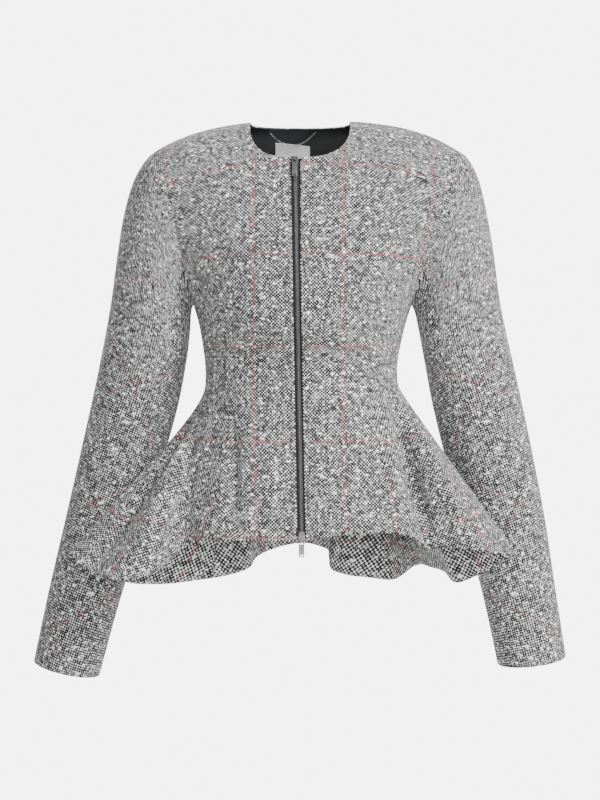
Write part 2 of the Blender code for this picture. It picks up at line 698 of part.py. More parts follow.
def add_pull(name, frame, length, metal):
    """Pull tab: a flat plate with a window that goes round the bridge and a slot near its end."""
    axis = SLIDER_GAP + SLIDER_PLATE + AXIS_RISE
    a_cuts = (-PULL_HALF, -PULL_WINDOW_HALF, PULL_WINDOW_HALF, PULL_HALF)
    slot = [length - rest for rest in PULL_SLOT_FROM_END]
    b_cuts = (-PULL_BAR_HALF, PULL_BAR_HALF, PULL_WINDOW_END, *slot, length)
    openings = {(1, 1), (1, 3)}
    work = bmesh.new()
    corners = {}
    for i, a in enumerate(a_cuts):
        for j, b in enumerate(b_cuts):
            corners[i, j] = work.verts.new(placed(frame, [(a, b, axis - PULL_THICK / 2)])[0])
    for i in range(len(a_cuts) - 1):
        for j in range(len(b_cuts) - 1):
            if (i, j) not in openings:
                work.faces.new([corners[i, j], corners[i + 1, j], corners[i + 1, j + 1], corners[i, j + 1]])
    raised = bmesh.ops.extrude_face_region(work, geom=work.faces[:])
    moved = [item for item in raised["geom"] if isinstance(item, bmesh.types.BMVert)]
    bmesh.ops.translate(work, verts=moved, vec=PULL_THICK * frame[3])
    bmesh.ops.recalc_face_normals(work, faces=work.faces)
    mesh = bpy.data.meshes.new(name)
    work.to_mesh(mesh)
    work.free()
    hinge = placed(frame, [(0.0, 0.0, axis)])[0]
    mesh.vertices.foreach_set("co", (np.array([v.co[:] for v in mesh.vertices]) - hinge).ravel())
    mesh.materials.append(metal)
    made = bpy.data.objects.new(name, mesh)
    made.location = hinge
    bpy.context.scene.collection.objects.link(made)


def add_sliders(metal):
    """The top slider, and the bottom one upside down, each with its pull tab hanging."""
    top = zip_frame(TOP_AXIS_Z)
    add_slider("top_slider", top, TOP_NOSE, TOP_MOUTH, metal)
    add_pull("top_pull", top, TOP_PULL_LENGTH, metal)
    bottom = zip_frame(BOTTOM_AXIS_Z)
    add_slider("bottom_slider", bottom, BOTTOM_NOSE, BOTTOM_MOUTH, metal)
    add_pull("bottom_pull", bottom, BOTTOM_PULL_LENGTH, metal)


def lining_grid():
    """Shares of the arc, points and outward directions of the backs that carry the neck lining."""
    levels = ARMPIT + upper_heights()[BACK_TIP_ROW + 1:ROWS_TO_NECK + 3]
    half = np.linspace(0.0, 1.0, BACK_COLUMNS + 1)[:-1]
    shares = np.concatenate([-half[:0:-1], half])
    t = np.broadcast_to(shares, (len(levels), len(shares)))
    level = np.broadcast_to(levels[:, None], t.shape)
    return shares, skin("back", t, level), skin_normal("back", t, level)


def add_neck_lining(satin):
    """Lining inside the back neck, from the points of both backs moved in by the cloth and a small gap."""
    _, points, outward = lining_grid()
    outer = points - (CLOTH + LINING_GAP) * outward
    inner = outer - LINING * outward
    add_wall("back_neck_lining", pulled_in(outer, outer), pulled_in(inner, outer), satin)


def neck_points(x, z, depth):
    """Points inside the back neck at a distance across and a height, at a depth under the outer skin."""
    level = level_of("back", z)
    t = across_at("back", x, level)
    return skin("back", t, level) - depth[..., None] * skin_normal("back", t, level)


def add_label(white):
    """Blank label on the lining, from the lining's own points moved in."""
    shares, points, outward = lining_grid()
    inner_face = points - (CLOTH + LINING_GAP + LINING) * outward
    middle = inner_face[LABEL_ROWS[0]]
    ends = np.interp(LABEL_X, middle[:, 0], shares)
    inside = shares[(shares > ends[0]) & (shares < ends[1])]
    columns = np.concatenate([ends[:1], inside, ends[1:]])

    def on_lining(grid):
        """Rows of the lining under the label, read along straight lines between its columns."""
        rows = grid[slice(*LABEL_ROWS)]
        read = [[np.interp(columns, shares, row[:, axis]) for axis in range(3)] for row in rows]
        return np.moveaxis(np.array(read), 1, 2)

    face = on_lining(inner_face) - LABEL_GAP * on_lining(outward)
    add_wall("neck_label", face, face - LABEL * on_lining(outward), white)


def add_hanger(metal):
    """Hanger chain: a thin round bar that sags in front of the lining and over the top of the label."""
    s = np.linspace(-1.0, 1.0, HANGER_POINTS)
    x = (HANGER_X[0] + HANGER_X[1]) / 2 + s * (HANGER_X[1] - HANGER_X[0]) / 2
    z = HANGER_LOW_Z + (HANGER_END_Z - HANGER_LOW_Z) * s ** 2
    lie = CLOTH + LINING_GAP + LINING + HANGER_GAP + HANGER_RADIUS
    depth = lie + (LABEL_GAP + LABEL) * (1.0 - s ** 2)
    points = neck_points(x, z, depth)
    curve = bpy.data.curves.new("hanger_chain", "CURVE")
    curve.dimensions = "3D"
    curve.bevel_depth = HANGER_RADIUS
    curve.bevel_resolution = 1
    curve.use_fill_caps = True
    line = curve.splines.new("POLY")
    line.points.add(len(points) - 1)
    line.points.foreach_set("co", np.concatenate([points, np.ones((len(points), 1))], axis=1).ravel())
    curve.materials.append(metal)
    made = bpy.data.objects.new("hanger_chain", curve)
    bpy.context.scene.collection.objects.link(made)


def main():
    for old in list(bpy.data.objects):
        bpy.data.objects.remove(old, do_unlink=True)
    tweed = material("tweed", (0.27, 0.27, 0.27), 0.95)
    tape = material("zip_tape", (0.012, 0.012, 0.014), 0.85)
    metal = material("gunmetal", (0.36, 0.36, 0.37), 0.35, 1.0)
    satin = material("satin", (0.015, 0.017, 0.02), 0.35)
    white = material("label_weave", (0.72, 0.74, 0.75), 0.8)
    add_fronts(tweed)
    add_backs(tweed)
    add_sleeves(tweed)
    add_zip(tape, metal)
    add_sliders(metal)
    add_neck_lining(satin)
    add_label(white)
    add_hanger(metal)


main()
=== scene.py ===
# %% [markdown]
# # A collarless tweed jacket with a fluted peplum
#
# A tailor cuts this jacket from flat wool cloth: fronts, side panels, backs and two-piece sleeves.
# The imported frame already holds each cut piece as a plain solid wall. This lesson dresses that frame:
# it works out the same surfaces again on much finer grids, adds the soft creases, weaves the tweed,
# and sets the metal teeth of the zip, the links of the hanger and the satin inside the neck.

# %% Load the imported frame
import math
from collections import namedtuple

import bmesh
import bpy
import numpy as np
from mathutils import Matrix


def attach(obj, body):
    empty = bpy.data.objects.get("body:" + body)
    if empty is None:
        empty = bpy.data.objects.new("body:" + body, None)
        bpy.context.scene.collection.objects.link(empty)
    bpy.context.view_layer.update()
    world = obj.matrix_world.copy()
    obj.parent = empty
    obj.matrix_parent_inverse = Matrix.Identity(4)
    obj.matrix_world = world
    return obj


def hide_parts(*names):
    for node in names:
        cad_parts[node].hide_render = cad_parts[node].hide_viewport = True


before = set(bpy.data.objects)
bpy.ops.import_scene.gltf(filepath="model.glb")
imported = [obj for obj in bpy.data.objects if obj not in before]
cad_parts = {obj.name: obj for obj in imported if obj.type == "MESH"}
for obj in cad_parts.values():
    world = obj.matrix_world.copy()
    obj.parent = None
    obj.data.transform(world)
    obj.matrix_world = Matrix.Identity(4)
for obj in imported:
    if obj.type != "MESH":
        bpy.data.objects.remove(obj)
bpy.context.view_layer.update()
BODY = "jacket"
MM = 0.001

# %% [markdown]
# ## The sizes of the cut
#
# Cloth has no edges to measure in mid air, so its form is told by sections, as a pattern cutter
# would note them: a few girths up the body, rings down each sleeve, and the folds along the hem.
# Smooth curves run through the rows, which keeps each table short. The sleeves and the hem are
# noted as they look from the front, five metres away, and are moved along the line of sight.

# %% Sections of the body, the sleeves and the hem
CLOTH = 2.4 * MM
HEM, WAIST, ARMPIT, SHOULDER = 0.0, 1.0, 2.0, 3.0
SIDES = {"right": -1, "left": 1}


def table(kind, rows):
    """Rows of plain numbers as rows with named columns."""
    return [kind(*row) for row in rows]


Section = namedtuple("Section", "z right_x left_x front_y back_y side_y")
BODICE = table(Section, [
    (-289.0, -113.5, 117.0, -84.0, 80.0, 2.0),
    (-269.0, -114.0, 117.0, -87.0, 82.0, 3.0),
    (-245.0, -117.0, 121.0, -99.0, 89.0, 4.0),
    (-220.0, -121.5, 127.0, -111.5, 96.6, 4.0),
    (-198.0, -128.0, 134.0, -112.0, 97.0, 4.0),
])
SleeveRing = namedtuple(
    "SleeveRing",
    "right_outer_x right_outer_z right_inner_x right_inner_z"
    " left_outer_x left_outer_z left_inner_x left_inner_z mid_y half_depth front_drop",
)
SLEEVE = table(SleeveRing, [
    (-169.0, -10.5, -128.0, -198.0, 183.0, -9.0, 134.0, -198.0, 4.0, 58.0, 0.0),
    (-184.0, -23.0, -129.5, -202.5, 201.0, -22.0, 136.0, -202.5, 4.0, 60.0, 0.0),
    (-199.5, -49.0, -130.5, -208.0, 214.5, -48.0, 138.0, -208.0, 5.0, 61.0, 0.0),
    (-211.0, -88.0, -131.0, -217.0, 224.0, -87.0, 140.0, -217.0, 6.0, 61.0, 0.0),
    (-219.0, -136.0, -132.0, -232.0, 232.5, -136.0, 143.0, -232.0, 8.0, 59.0, 0.0),
    (-228.0, -202.0, -135.5, -262.0, 241.5, -202.0, 148.5, -262.0, 15.0, 56.0, 0.0),
    (-243.5, -284.0, -146.0, -318.0, 259.5, -284.0, 159.0, -318.0, 34.0, 53.0, 0.0),
    (-261.5, -366.0, -167.5, -396.0, 277.0, -366.0, 178.0, -396.0, 54.0, 50.0, 0.0),
    (-281.0, -452.0, -192.0, -476.0, 293.5, -452.0, 201.0, -476.0, 66.0, 47.0, 0.0),
    (-301.0, -538.0, -217.5, -558.0, 306.5, -538.0, 221.5, -556.0, 68.0, 44.0, 1.5),
    (-319.5, -625.0, -240.5, -642.0, 319.0, -619.0, 237.0, -628.5, 62.0, 41.0, 6.0),
])
HemFold = namedtuple("HemFold", "around x y z")
PEPLUM_HEM = table(HemFold, [
    (-1.87, -38.0, 140.0, -492.0),
    (-1.78, -55.0, 119.0, -502.0),
    (-1.69, -62.0, 98.0, -513.0),
    (-1.58, -84.0, 82.0, -521.5),
    (-1.44, -126.0, 64.0, -528.5),
    (-1.32, -172.0, 38.0, -533.0),
    (-1.22, -214.0, 10.0, -529.0),
    (-1.13, -254.0, -4.0, -507.0),
    (-1.06, -276.0, -24.0, -494.0),
    (-1.01, -266.0, -46.0, -508.0),
    (-0.95, -250.0, -58.0, -518.0),
    (-0.89, -234.0, -82.0, -525.0),
    (-0.82, -204.0, -98.0, -527.0),
    (-0.75, -172.0, -86.0, -518.0),
    (-0.69, -152.0, -66.0, -502.0),
    (-0.62, -137.0, -62.0, -486.0),
    (-0.53, -116.0, -86.0, -477.0),
    (-0.41, -90.0, -101.0, -480.0),
    (-0.22, -50.0, -107.0, -480.0),
    (0.0, 2.0, -106.0, -481.0),
    (0.22, 52.0, -107.0, -474.0),
    (0.44, 100.0, -99.0, -471.0),
    (0.60, 138.0, -82.0, -478.0),
    (0.70, 156.0, -60.0, -490.0),
    (0.79, 182.0, -68.0, -489.0),
    (0.89, 220.0, -74.0, -493.0),
    (0.97, 250.0, -50.0, -498.0),
    (1.03, 262.0, -22.0, -499.0),
    (1.10, 244.0, -4.0, -504.0),
    (1.18, 212.0, 2.0, -523.0),
    (1.26, 188.0, 11.0, -531.0),
    (1.34, 175.0, 40.0, -518.0),
    (1.42, 157.0, 76.0, -512.0),
    (1.50, 145.0, 110.0, -509.0),
    (1.555, 134.0, 130.0, -513.0),
    (1.61, 122.0, 108.0, -522.0),
    (1.68, 109.0, 86.0, -528.0),
    (1.75, 82.0, 78.0, -525.0),
    (1.82, 54.0, 84.0, -521.0),
    (1.865, 38.0, 102.0, -513.0),
    (1.90, 37.0, 122.0, -494.0),
    (1.94, 24.0, 140.0, -487.0),
])
HEM_TURN = 4.0
PEPLUM_TURN = 0.08
PEPLUM_TURN_SWING = -0.045
EYE_DISTANCE = 5.0
EYE_Z = -312.0 * MM
ARC_FULLNESS = 1.03
SHOULDER_CENTRE_Z = 24.0 * MM
SHOULDER_LIFT = {-1: 27.0 * MM, 1: 31.0 * MM}
CHEST_POWER = {"front": 1.5, "back": 3.0}
NECK_X = -6.6 * MM
NECK_HALF = {-1: 53.4 * MM, 1: 66.6 * MM}
NECK_TOP_Z = 22.0 * MM
NECK_DROP = {"front": 46.0 * MM, "back": 5.5 * MM}
NECK_POWER = 2.7
PRINCESS = 0.5
PRINCESS_TIP = 0.95
PRINCESS_BEND = 1.5
ZIP_TOP = (-6.6 * MM, -24.0 * MM)
ZIP_FOOT = (1.8 * MM, -481.0 * MM)
ZIP_HALF = 4.8 * MM
print("tables:", len(BODICE), "girths,", len(SLEEVE), "sleeve rings,", len(PEPLUM_HEM), "hem folds")

# %% [markdown]
# ## Curves and small sums
#
# Everything below works on whole arrays. A cubic through the rows of a table gives a smooth column,
# and halving an interval again and again finds where a rising function crosses zero, for every row at once.

# %% Curves, points and roots
DIFFERENCE = 1e-4
TINY = 1e-6
HALVINGS = 44
NEAR_CENTRE = 0.4
STEEPEST = 0.95
SHARPEST = 0.7


def column(table, name):
    """One named column of a table, as an array."""
    return np.array([getattr(row, name) for row in table])


def smooth(knots, values, at):
    """Cubic Hermite curve through the values; each slope is that of the parabola through its neighbours."""
    knots = np.asarray(knots, float)
    slopes = np.gradient(values, knots)
    place = np.clip(np.searchsorted(knots, at, side="right") - 1, 0, len(knots) - 2)
    width = knots[place + 1] - knots[place]
    s = (at - knots[place]) / width
    rise = values[place + 1] - values[place]
    start = slopes[place] * width
    finish = slopes[place + 1] * width
    return values[place] + s * (start + s * (3 * rise - 2 * start - finish + s * (start + finish - 2 * rise)))


def ease(low, high, value):
    """Smooth step from 0 at low to 1 at high: three times the square less twice the cube."""
    s = np.clip((value - low) / (high - low), 0.0, 1.0)
    return s * s * (3.0 - 2.0 * s)


def unit(vectors):
    """Vectors scaled to length one."""
    return vectors / np.linalg.norm(vectors, axis=-1, keepdims=True)


def stack(x, y, z):
    """Points from separate coordinates."""
    return np.stack(np.broadcast_arrays(x, y, z), axis=-1)


def solve(rising, low, high):
    """Where a rising function crosses zero between two bounds, by halving whole arrays."""
    for _ in range(HALVINGS):
        middle = (low + high) / 2
        above = rising(middle) > 0
        high = np.where(above, middle, high)
        low = np.where(above, low, middle)
    return (low + high) / 2


def true_place(x, y, z):
    """Point whose x and z are as seen in the plane of the origin, moved along the sight line to depth y."""
    nearness = 1.0 + y / EYE_DISTANCE
    return stack(x * nearness, y, EYE_Z + (z - EYE_Z) * nearness)


# %% [markdown]
# ## The skin of the jacket
#
# A sleeve is an ellipse carried down the arm. The bodice is a quarter of an ellipse on each side of the
# centre line, and above the armpit the armhole cuts each arc short. The peplum hangs from the waist in
# straight flutes: every thread goes from the waist to its own place on the folded hem. These three could
# be sculpted by hand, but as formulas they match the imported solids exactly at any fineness.

# %% Sleeve, bodice and peplum surfaces
def sleeve(side, angle, along):
    """Sleeve skin: an ellipse at each section, angle 0 at the outer arm and a quarter turn at the front."""
    knots = np.linspace(0.0, 1.0, len(SLEEVE))
    ring = {name: smooth(knots, column(SLEEVE, name), along) * MM for name in SleeveRing._fields}
    label = "left" if side > 0 else "right"
    outer_x = ring[label + "_outer_x"]
    inner_x = ring[label + "_inner_x"]
    outer_z = ring[label + "_outer_z"]
    inner_z = ring[label + "_inner_z"]
    swing = np.cos(angle)
    x = (outer_x + inner_x) / 2 + (outer_x - inner_x) / 2 * swing
    z = (outer_z + inner_z) / 2 + (outer_z - inner_z) / 2 * swing - ring["front_drop"] * np.sin(angle)
    y = ring["mid_y"] - ring["half_depth"] * np.sin(angle)
    return true_place(x, ring["mid_y"], z) * (1.0, 0.0, 1.0) + stack(0.0, y, 0.0)


def arm_turn(face, height):
    """Half turns round the sleeve, from the outer arm, at a height up one face of the armhole."""
    return 1.0 - height if face == "front" else 1.0 + height


def armhole(face, side, height):
    """Edge of the armhole, from the armpit at 0 to the shoulder at 1: the first section of the sleeve."""
    return sleeve(side, math.pi * arm_turn(face, height), np.zeros_like(height))


def bodice(face, t, level):
    """Skin above the waist: an arc from the centre line (t 0) to the side or armhole (t 1 or -1).

    Each arc is a quarter of an ellipse as one cubic; above the armpit the armhole cuts it short.
    """
    side = np.where(t >= 0, 1.0, -1.0)
    body = np.clip(level, WAIST, ARMPIT)
    knots = np.linspace(WAIST, ARMPIT, len(BODICE))
    low = {name: smooth(knots, column(BODICE, name), body) * MM for name in Section._fields}
    height = np.clip(level - ARMPIT, 0.0, 1.0 - TINY)
    rise = np.sin(math.pi * height / 2) ** 2
    fall = np.sqrt(np.clip(1.0 - rise ** CHEST_POWER[face], 0.0, 1.0))
    upper = level > ARMPIT
    depth = (low[face + "_y"] - low["side_y"]) * np.where(upper, fall, 1.0)
    centre_z = low["z"] + (SHOULDER_CENTRE_Z - low["z"]) * rise
    centre = stack(0.0 * t, low["side_y"] + depth, centre_z)
    flank = true_place(np.where(side > 0, low["left_x"], low["right_x"]), low["side_y"], low["z"])
    hole = np.where(side[..., None] > 0, armhole(face, 1, height), armhole(face, -1, height))
    edge = np.where(upper[..., None], hole, flank)
    turned = np.arcsin(np.clip((edge[..., 1] - low["side_y"]) / depth, 0.0, STEEPEST))
    handle = ARC_FULLNESS * 4.0 / 3.0 * np.tan((math.pi / 2 - turned) / 4)
    half_width = edge[..., 0] / np.cos(turned)
    reach = stack(handle * half_width, 0.0, 0.0)
    lift = np.where(side > 0, SHOULDER_LIFT[1], SHOULDER_LIFT[-1]) * rise
    pull = stack(-handle * half_width * np.sin(turned), handle * depth * np.cos(turned), lift)
    s = np.abs(t)[..., None]
    r = 1.0 - s
    return r ** 3 * centre + 3 * r * r * s * (centre + reach) + 3 * r * s * s * (edge + pull) + s ** 3 * edge


def around(face, t):
    """Place round the body: 0 centre front, 1 and -1 the sides, 2 and -2 the centre back."""
    return t if face == "front" else np.where(t >= 0, 2.0, -2.0) - t


def wrap(place):
    """Place round the body, brought within half a turn of the centre front."""
    return (place + HEM_TURN / 2) % HEM_TURN - HEM_TURN / 2


def hem_line(place):
    """Peplum hem: a closed smooth curve through the folds of the table."""
    turns = column(PEPLUM_HEM, "around")
    knots = np.concatenate([turns[-3:] - HEM_TURN, turns, turns[:3] + HEM_TURN])
    wrapped = wrap(place)
    coordinates = []
    for name in ("x", "y", "z"):
        values = column(PEPLUM_HEM, name) * MM
        values = np.concatenate([values[-3:], values, values[:3]])
        coordinates.append(smooth(knots, values, wrapped))
    return true_place(*coordinates)


def skin(face, t, level):
    """Outer face of the body: the bodice, and below the waist straight flutes that swing out to the hem."""
    t, level = np.broadcast_arrays(np.asarray(t, float), np.asarray(level, float))
    top = bodice(face, t, np.maximum(level, WAIST))
    drop = np.clip(WAIST - level, 0.0, 1.0)
    place = around(face, t)
    turn = PEPLUM_TURN + PEPLUM_TURN_SWING * np.sin(math.pi / 2 * place)
    whole = 1.0 - turn * (1.0 - np.exp(-1.0 / turn))
    spread = (drop - turn * (1.0 - np.exp(-drop / turn))) / whole
    hem = hem_line(place)
    return top + (hem - top) * stack(spread, spread, drop)


def ring(place, level):
    """Skin below the armpit by its place round the body."""
    wrapped = wrap(place)
    front = skin("front", np.clip(wrapped, -1.0, 1.0), level)
    back = skin("back", np.clip(around("back", wrapped), -1.0, 1.0), level)
    return np.where((np.abs(wrapped) <= 1.0)[..., None], front, back)


# %% Outward directions
def sleeve_normal(side, angle, along):
    """Outward direction of the sleeve skin: the cross product of its two small steps."""
    turn = sleeve(side, angle + DIFFERENCE, along) - sleeve(side, angle - DIFFERENCE, along)
    late = np.minimum(along + DIFFERENCE, 1.0)
    early = np.maximum(along - DIFFERENCE, 0.0)
    return unit(np.cross(turn, sleeve(side, angle, late) - sleeve(side, angle, early))) * side


def skin_normal(face, t, level):
    """Outward direction of the body skin, the same on both panels of a seam."""
    t, level = np.broadcast_arrays(np.asarray(t, float), np.asarray(level, float))
    place = around(face, t)
    low = np.minimum(level, ARMPIT)
    round_body = ring(place + DIFFERENCE, low) - ring(place - DIFFERENCE, low)
    further = skin(face, np.minimum(t + DIFFERENCE, 1.0), level)
    nearer = skin(face, np.maximum(t - DIFFERENCE, -1.0), level)
    across = further - nearer if face == "front" else nearer - further
    across = np.where((level > ARMPIT)[..., None], across, round_body)
    higher = skin(face, t, np.minimum(level + DIFFERENCE, SHOULDER))
    lower = skin(face, t, np.maximum(level - DIFFERENCE, HEM))
    return unit(np.cross(across, higher - lower))


def armhole_out(face, side, height):
    """Direction through the wall where body and sleeve meet, halfway between the two."""
    first = skin_normal(face, float(side) * np.ones_like(height), ARMPIT + height)
    second = sleeve_normal(side, math.pi * arm_turn(face, height), np.zeros_like(height))
    half = unit(first + second)
    return half / np.maximum(np.sum(half * first, axis=-1, keepdims=True), SHARPEST)


# %% Places on the skin
def level_of(face, z):
    """Level at which the centre line of a face reaches a height."""
    def above(level):
        return skin(face, 0.0, level)[..., 2] - z

    return solve(above, np.full_like(z, HEM), np.full_like(z, SHOULDER))


def zip_x(z):
    """Centre of the zip at a height."""
    return np.interp(z, [ZIP_FOOT[1], ZIP_TOP[1]], [ZIP_FOOT[0], ZIP_TOP[0]])


def zip_edge(offset, level):
    """Share of the front arc at a distance from the centre of the zip."""
    reach = np.full_like(level, NEAR_CENTRE)

    def beyond(t):
        point = skin("front", t, level)
        return point[..., 0] - zip_x(point[..., 2]) - offset

    return solve(beyond, -reach, reach)


def beyond_neck(face, half_width, point):
    """Neckline with squarer corners: a power of the share across plus one of the share down, less one."""
    over = np.abs(point[..., 0] - NECK_X) / half_width
    under = np.maximum(NECK_TOP_Z - point[..., 2], 0.0) / NECK_DROP[face]
    return over ** NECK_POWER + under ** NECK_POWER - 1.0


def neck_edge(face, side, level):
    """Share of the arc at which a face leaves the neckline."""
    def outside(t):
        return beyond_neck(face, NECK_HALF[side], skin(face, side * t, level))

    found = solve(outside, np.zeros_like(level), np.ones_like(level))
    return np.where(level > ARMPIT, found, 0.0)


def princess(tip_height, level):
    """Share of the arc at a princess seam: straight below the armpit, then bending into the armhole."""
    height = np.clip(level - ARMPIT, 0.0, tip_height) / tip_height
    return PRINCESS + (PRINCESS_TIP - PRINCESS) * height ** PRINCESS_BEND


FRONT_NECK = float(level_of("front", np.array(ZIP_TOP[1]))) - ARMPIT
BACK_NECK = float(level_of("back", np.array(NECK_TOP_Z - NECK_DROP["back"]))) - ARMPIT
print("necklines at", round(FRONT_NECK, 3), "and", round(BACK_NECK, 3), "of the way up the armhole")

# %% [markdown]
# ## Creases
#
# Wool on a body is never quite smooth. The large flutes are in the skin already. The small troughs and
# soft ridges are listed one row each: two ends on the cloth, a width and a depth. A crease moves
# the cloth along its outward direction by a bell curve of the distance to the line between its ends,
# and fades towards both ends. A cloth simulation would give others, but not the ones that show here.

# %% Creases of the body and the sleeves
BodyCrease = namedtuple("BodyCrease", "t0 level0 t1 level1 width depth")
FRONT_CREASES = table(BodyCrease, [
    (-0.93, 2.45, -0.99, 2.08, 9.0, -2.5),
    (0.985, 2.42, 0.97, 2.12, 9.0, -2.2),
    (-0.92, 2.22, -0.60, 2.02, 11.0, -2.0),
    (0.92, 2.20, 0.62, 1.98, 11.0, -1.6),
    (-0.98, 2.05, -0.66, 1.72, 12.0, -1.6),
    (0.98, 2.04, 0.70, 1.74, 12.0, -1.4),
    (-0.85, 1.30, -0.35, 1.12, 10.0, -1.6),
    (0.85, 1.26, 0.40, 1.10, 10.0, -1.4),
    (-0.93, 0.98, -0.955, -0.40, 8.0, -14.5),
    (-0.84, 0.90, -0.725, -0.40, 10.5, -14.5),
    (-0.90, 0.85, -0.84, -0.30, 13.0, 6.0),
    (-0.47, 0.80, -0.345, -0.40, 6.5, -9.0),
    (-0.70, 0.90, -0.62, 0.05, 15.0, 6.0),
    (0.76, 0.98, 0.70, -0.40, 9.5, -14.5),
    (0.50, 0.85, 0.46, -0.15, 11.0, -2.2),
    (0.86, 0.85, 0.86, -0.30, 13.0, 5.0),
])
BACK_CREASES = table(BodyCrease, [
    (-0.90, 2.25, -0.55, 2.05, 12.0, -2.0),
    (0.90, 2.28, 0.52, 2.02, 12.0, -2.2),
    (-0.80, 1.28, -0.25, 1.15, 11.0, -1.8),
    (0.78, 1.32, 0.22, 1.14, 11.0, -1.6),
    (-0.45, 1.55, 0.05, 1.42, 13.0, -1.5),
    (0.50, 1.62, 0.10, 1.50, 12.0, -1.3),
    (-0.62, 0.85, -0.70, -0.10, 10.0, -3.5),
    (0.30, 0.90, 0.42, -0.10, 10.0, -3.0),
    (-0.22, 0.80, -0.28, -0.10, 11.0, 2.4),
])
BODY_CREASES = {"front": FRONT_CREASES, "back": BACK_CREASES}
SleeveCrease = namedtuple("SleeveCrease", "angle0 along0 angle1 along1 width depth")
RIGHT_CREASES = table(SleeveCrease, [
    (150.0, 0.06, 95.0, 0.16, 10.0, -2.6),
    (165.0, 0.16, 110.0, 0.30, 11.0, -2.2),
    (170.0, 0.48, 75.0, 0.55, 11.0, -2.0),
    (175.0, 0.58, 100.0, 0.60, 9.0, -1.6),
    (60.0, 0.66, 120.0, 0.72, 12.0, -1.5),
    (230.0, 0.50, 300.0, 0.58, 12.0, -1.8),
])
LEFT_CREASES = table(SleeveCrease, [
    (150.0, 0.06, 98.0, 0.17, 10.0, -2.4),
    (166.0, 0.15, 108.0, 0.28, 11.0, -2.0),
    (172.0, 0.46, 80.0, 0.54, 12.0, -2.0),
    (160.0, 0.57, 95.0, 0.61, 9.0, -1.6),
    (55.0, 0.68, 115.0, 0.73, 12.0, -1.5),
    (235.0, 0.48, 305.0, 0.57, 12.0, -1.8),
])
SLEEVE_CREASES = {-1: RIGHT_CREASES, 1: LEFT_CREASES}
CREASE_FADE = 0.35


def crease_heights(points, creases, end_points):
    """Sum of bell curves of the distance to each crease's line, each fading towards its two ends."""
    height = np.zeros(points.shape[:-1])
    for crease, (first, second) in zip(creases, end_points):
        line = second - first
        share = np.sum((points - first) * line, axis=-1) / np.sum(line * line)
        nearest = first + np.clip(share, 0.0, 1.0)[..., None] * line
        distance = np.linalg.norm(points - nearest, axis=-1)
        fade = ease(0.0, CREASE_FADE, share) * ease(0.0, CREASE_FADE, 1.0 - share)
        height += crease.depth * MM * fade * np.exp(-np.square(distance / (crease.width * MM)))
    return height


def body_creases(face, points):
    """Heights of the creases of one face of the body."""
    own = BODY_CREASES[face]
    ends = [(skin(face, c.t0, c.level0), skin(face, c.t1, c.level1)) for c in own]
    return crease_heights(points, own, ends)


def sleeve_creases(side, points):
    """Heights of the creases of one sleeve."""
    own = SLEEVE_CREASES[side]
    ends = [
        (sleeve(side, math.radians(c.angle0), np.array(c.along0)),
         sleeve(side, math.radians(c.angle1), np.array(c.along1)))
        for c in own
    ]
    return crease_heights(points, own, ends)


for part, creases in (("body", BODY_CREASES), ("sleeves", SLEEVE_CREASES)):
    print("creases on the", part + ":", sum(len(rows) for rows in creases.values()))

# %% [markdown]
# ## A wall of cloth from a grid
#
# Each panel is a grid of points with an outward direction. The outer face, the inner face one cloth
# thickness below, and a rounded rim between them make one closed wall. At a free edge, such as the hem,
# the rim is a full half round, as where cloth is turned under. At a seam it is slight, so that two
# panels meet in a fine groove. A Solidify modifier could do it, but its rim would be square everywhere.

# %% Closed cloth walls
FREE_ROUND = 1.1 * MM
SEAM_ROUND = 0.45 * MM
RIM_STEPS = 6


def border_of(rows, columns):
    """Row and column numbers once round the border of a grid."""
    along = np.arange(columns)
    up = np.arange(rows)
    r = np.concatenate([0 * along, up[1:], 0 * along[1:] + rows - 1, up[-2:0:-1]])
    c = np.concatenate([along, 0 * up[1:] + columns - 1, along[-2::-1], 0 * up[-2:0:-1]])
    return r, c


def cloth_wall(outer, outward, free, thickness=CLOTH):
    """Points and faces of a wall with a rounded rim; free names the sides that are not sewn.

    The border is drawn in by the rounding, and each rim loop goes round half an ellipse:
    middle + half thickness times cosine along the outward direction + rounding times sine along the edge.
    """
    rows, columns = outer.shape[:2]
    r, c = border_of(rows, columns)
    inside_r = np.clip(r, 1, rows - 2)
    inside_c = np.clip(c, 1, columns - 2)
    edge = unit(outer[r, c] - outer[inside_r, inside_c])
    is_free = np.zeros(len(r), bool)
    tests = {"bottom": r == 0, "top": r == rows - 1, "first": c == 0, "last": c == columns - 1}
    for side in free:
        is_free |= tests[side]
    rounding = np.where(is_free, FREE_ROUND, SEAM_ROUND)[:, None]
    top = outer.copy()
    top[r, c] -= edge * rounding
    under = top - thickness * outward
    middle = (top[r, c] + under[r, c]) / 2
    half = (top[r, c] - under[r, c]) / 2
    turns = np.linspace(0.0, math.pi, RIM_STEPS + 1)[1:-1]
    loops = [middle + half * math.cos(a) + edge * rounding * math.sin(a) for a in turns]
    points = np.concatenate([top.reshape(-1, 3), under.reshape(-1, 3), *loops])
    count = rows * columns
    index = np.arange(count).reshape(rows, columns)
    corners = (index[:-1, :-1], index[:-1, 1:], index[1:, 1:], index[1:, :-1])
    face = np.stack(corners, axis=-1).reshape(-1, 4)
    border = index[r, c]
    loop = 2 * count + np.arange(len(r))
    rings = [border, *(loop + k * len(r) for k in range(len(turns))), border + count]
    rim = [
        np.stack([np.roll(a, -1), a, b, np.roll(b, -1)], axis=-1)
        for a, b in zip(rings[:-1], rings[1:])
    ]
    faces = np.concatenate([face, face[:, ::-1] + count, *rim])
    source = np.concatenate([np.arange(count), np.arange(count), *([border] * len(turns))])
    return points, faces, source, len(face)


def place_object(name, data):
    """Object at the origin with the given data, linked to the scene."""
    made = bpy.data.objects.new(name, data)
    bpy.context.scene.collection.objects.link(made)
    return made


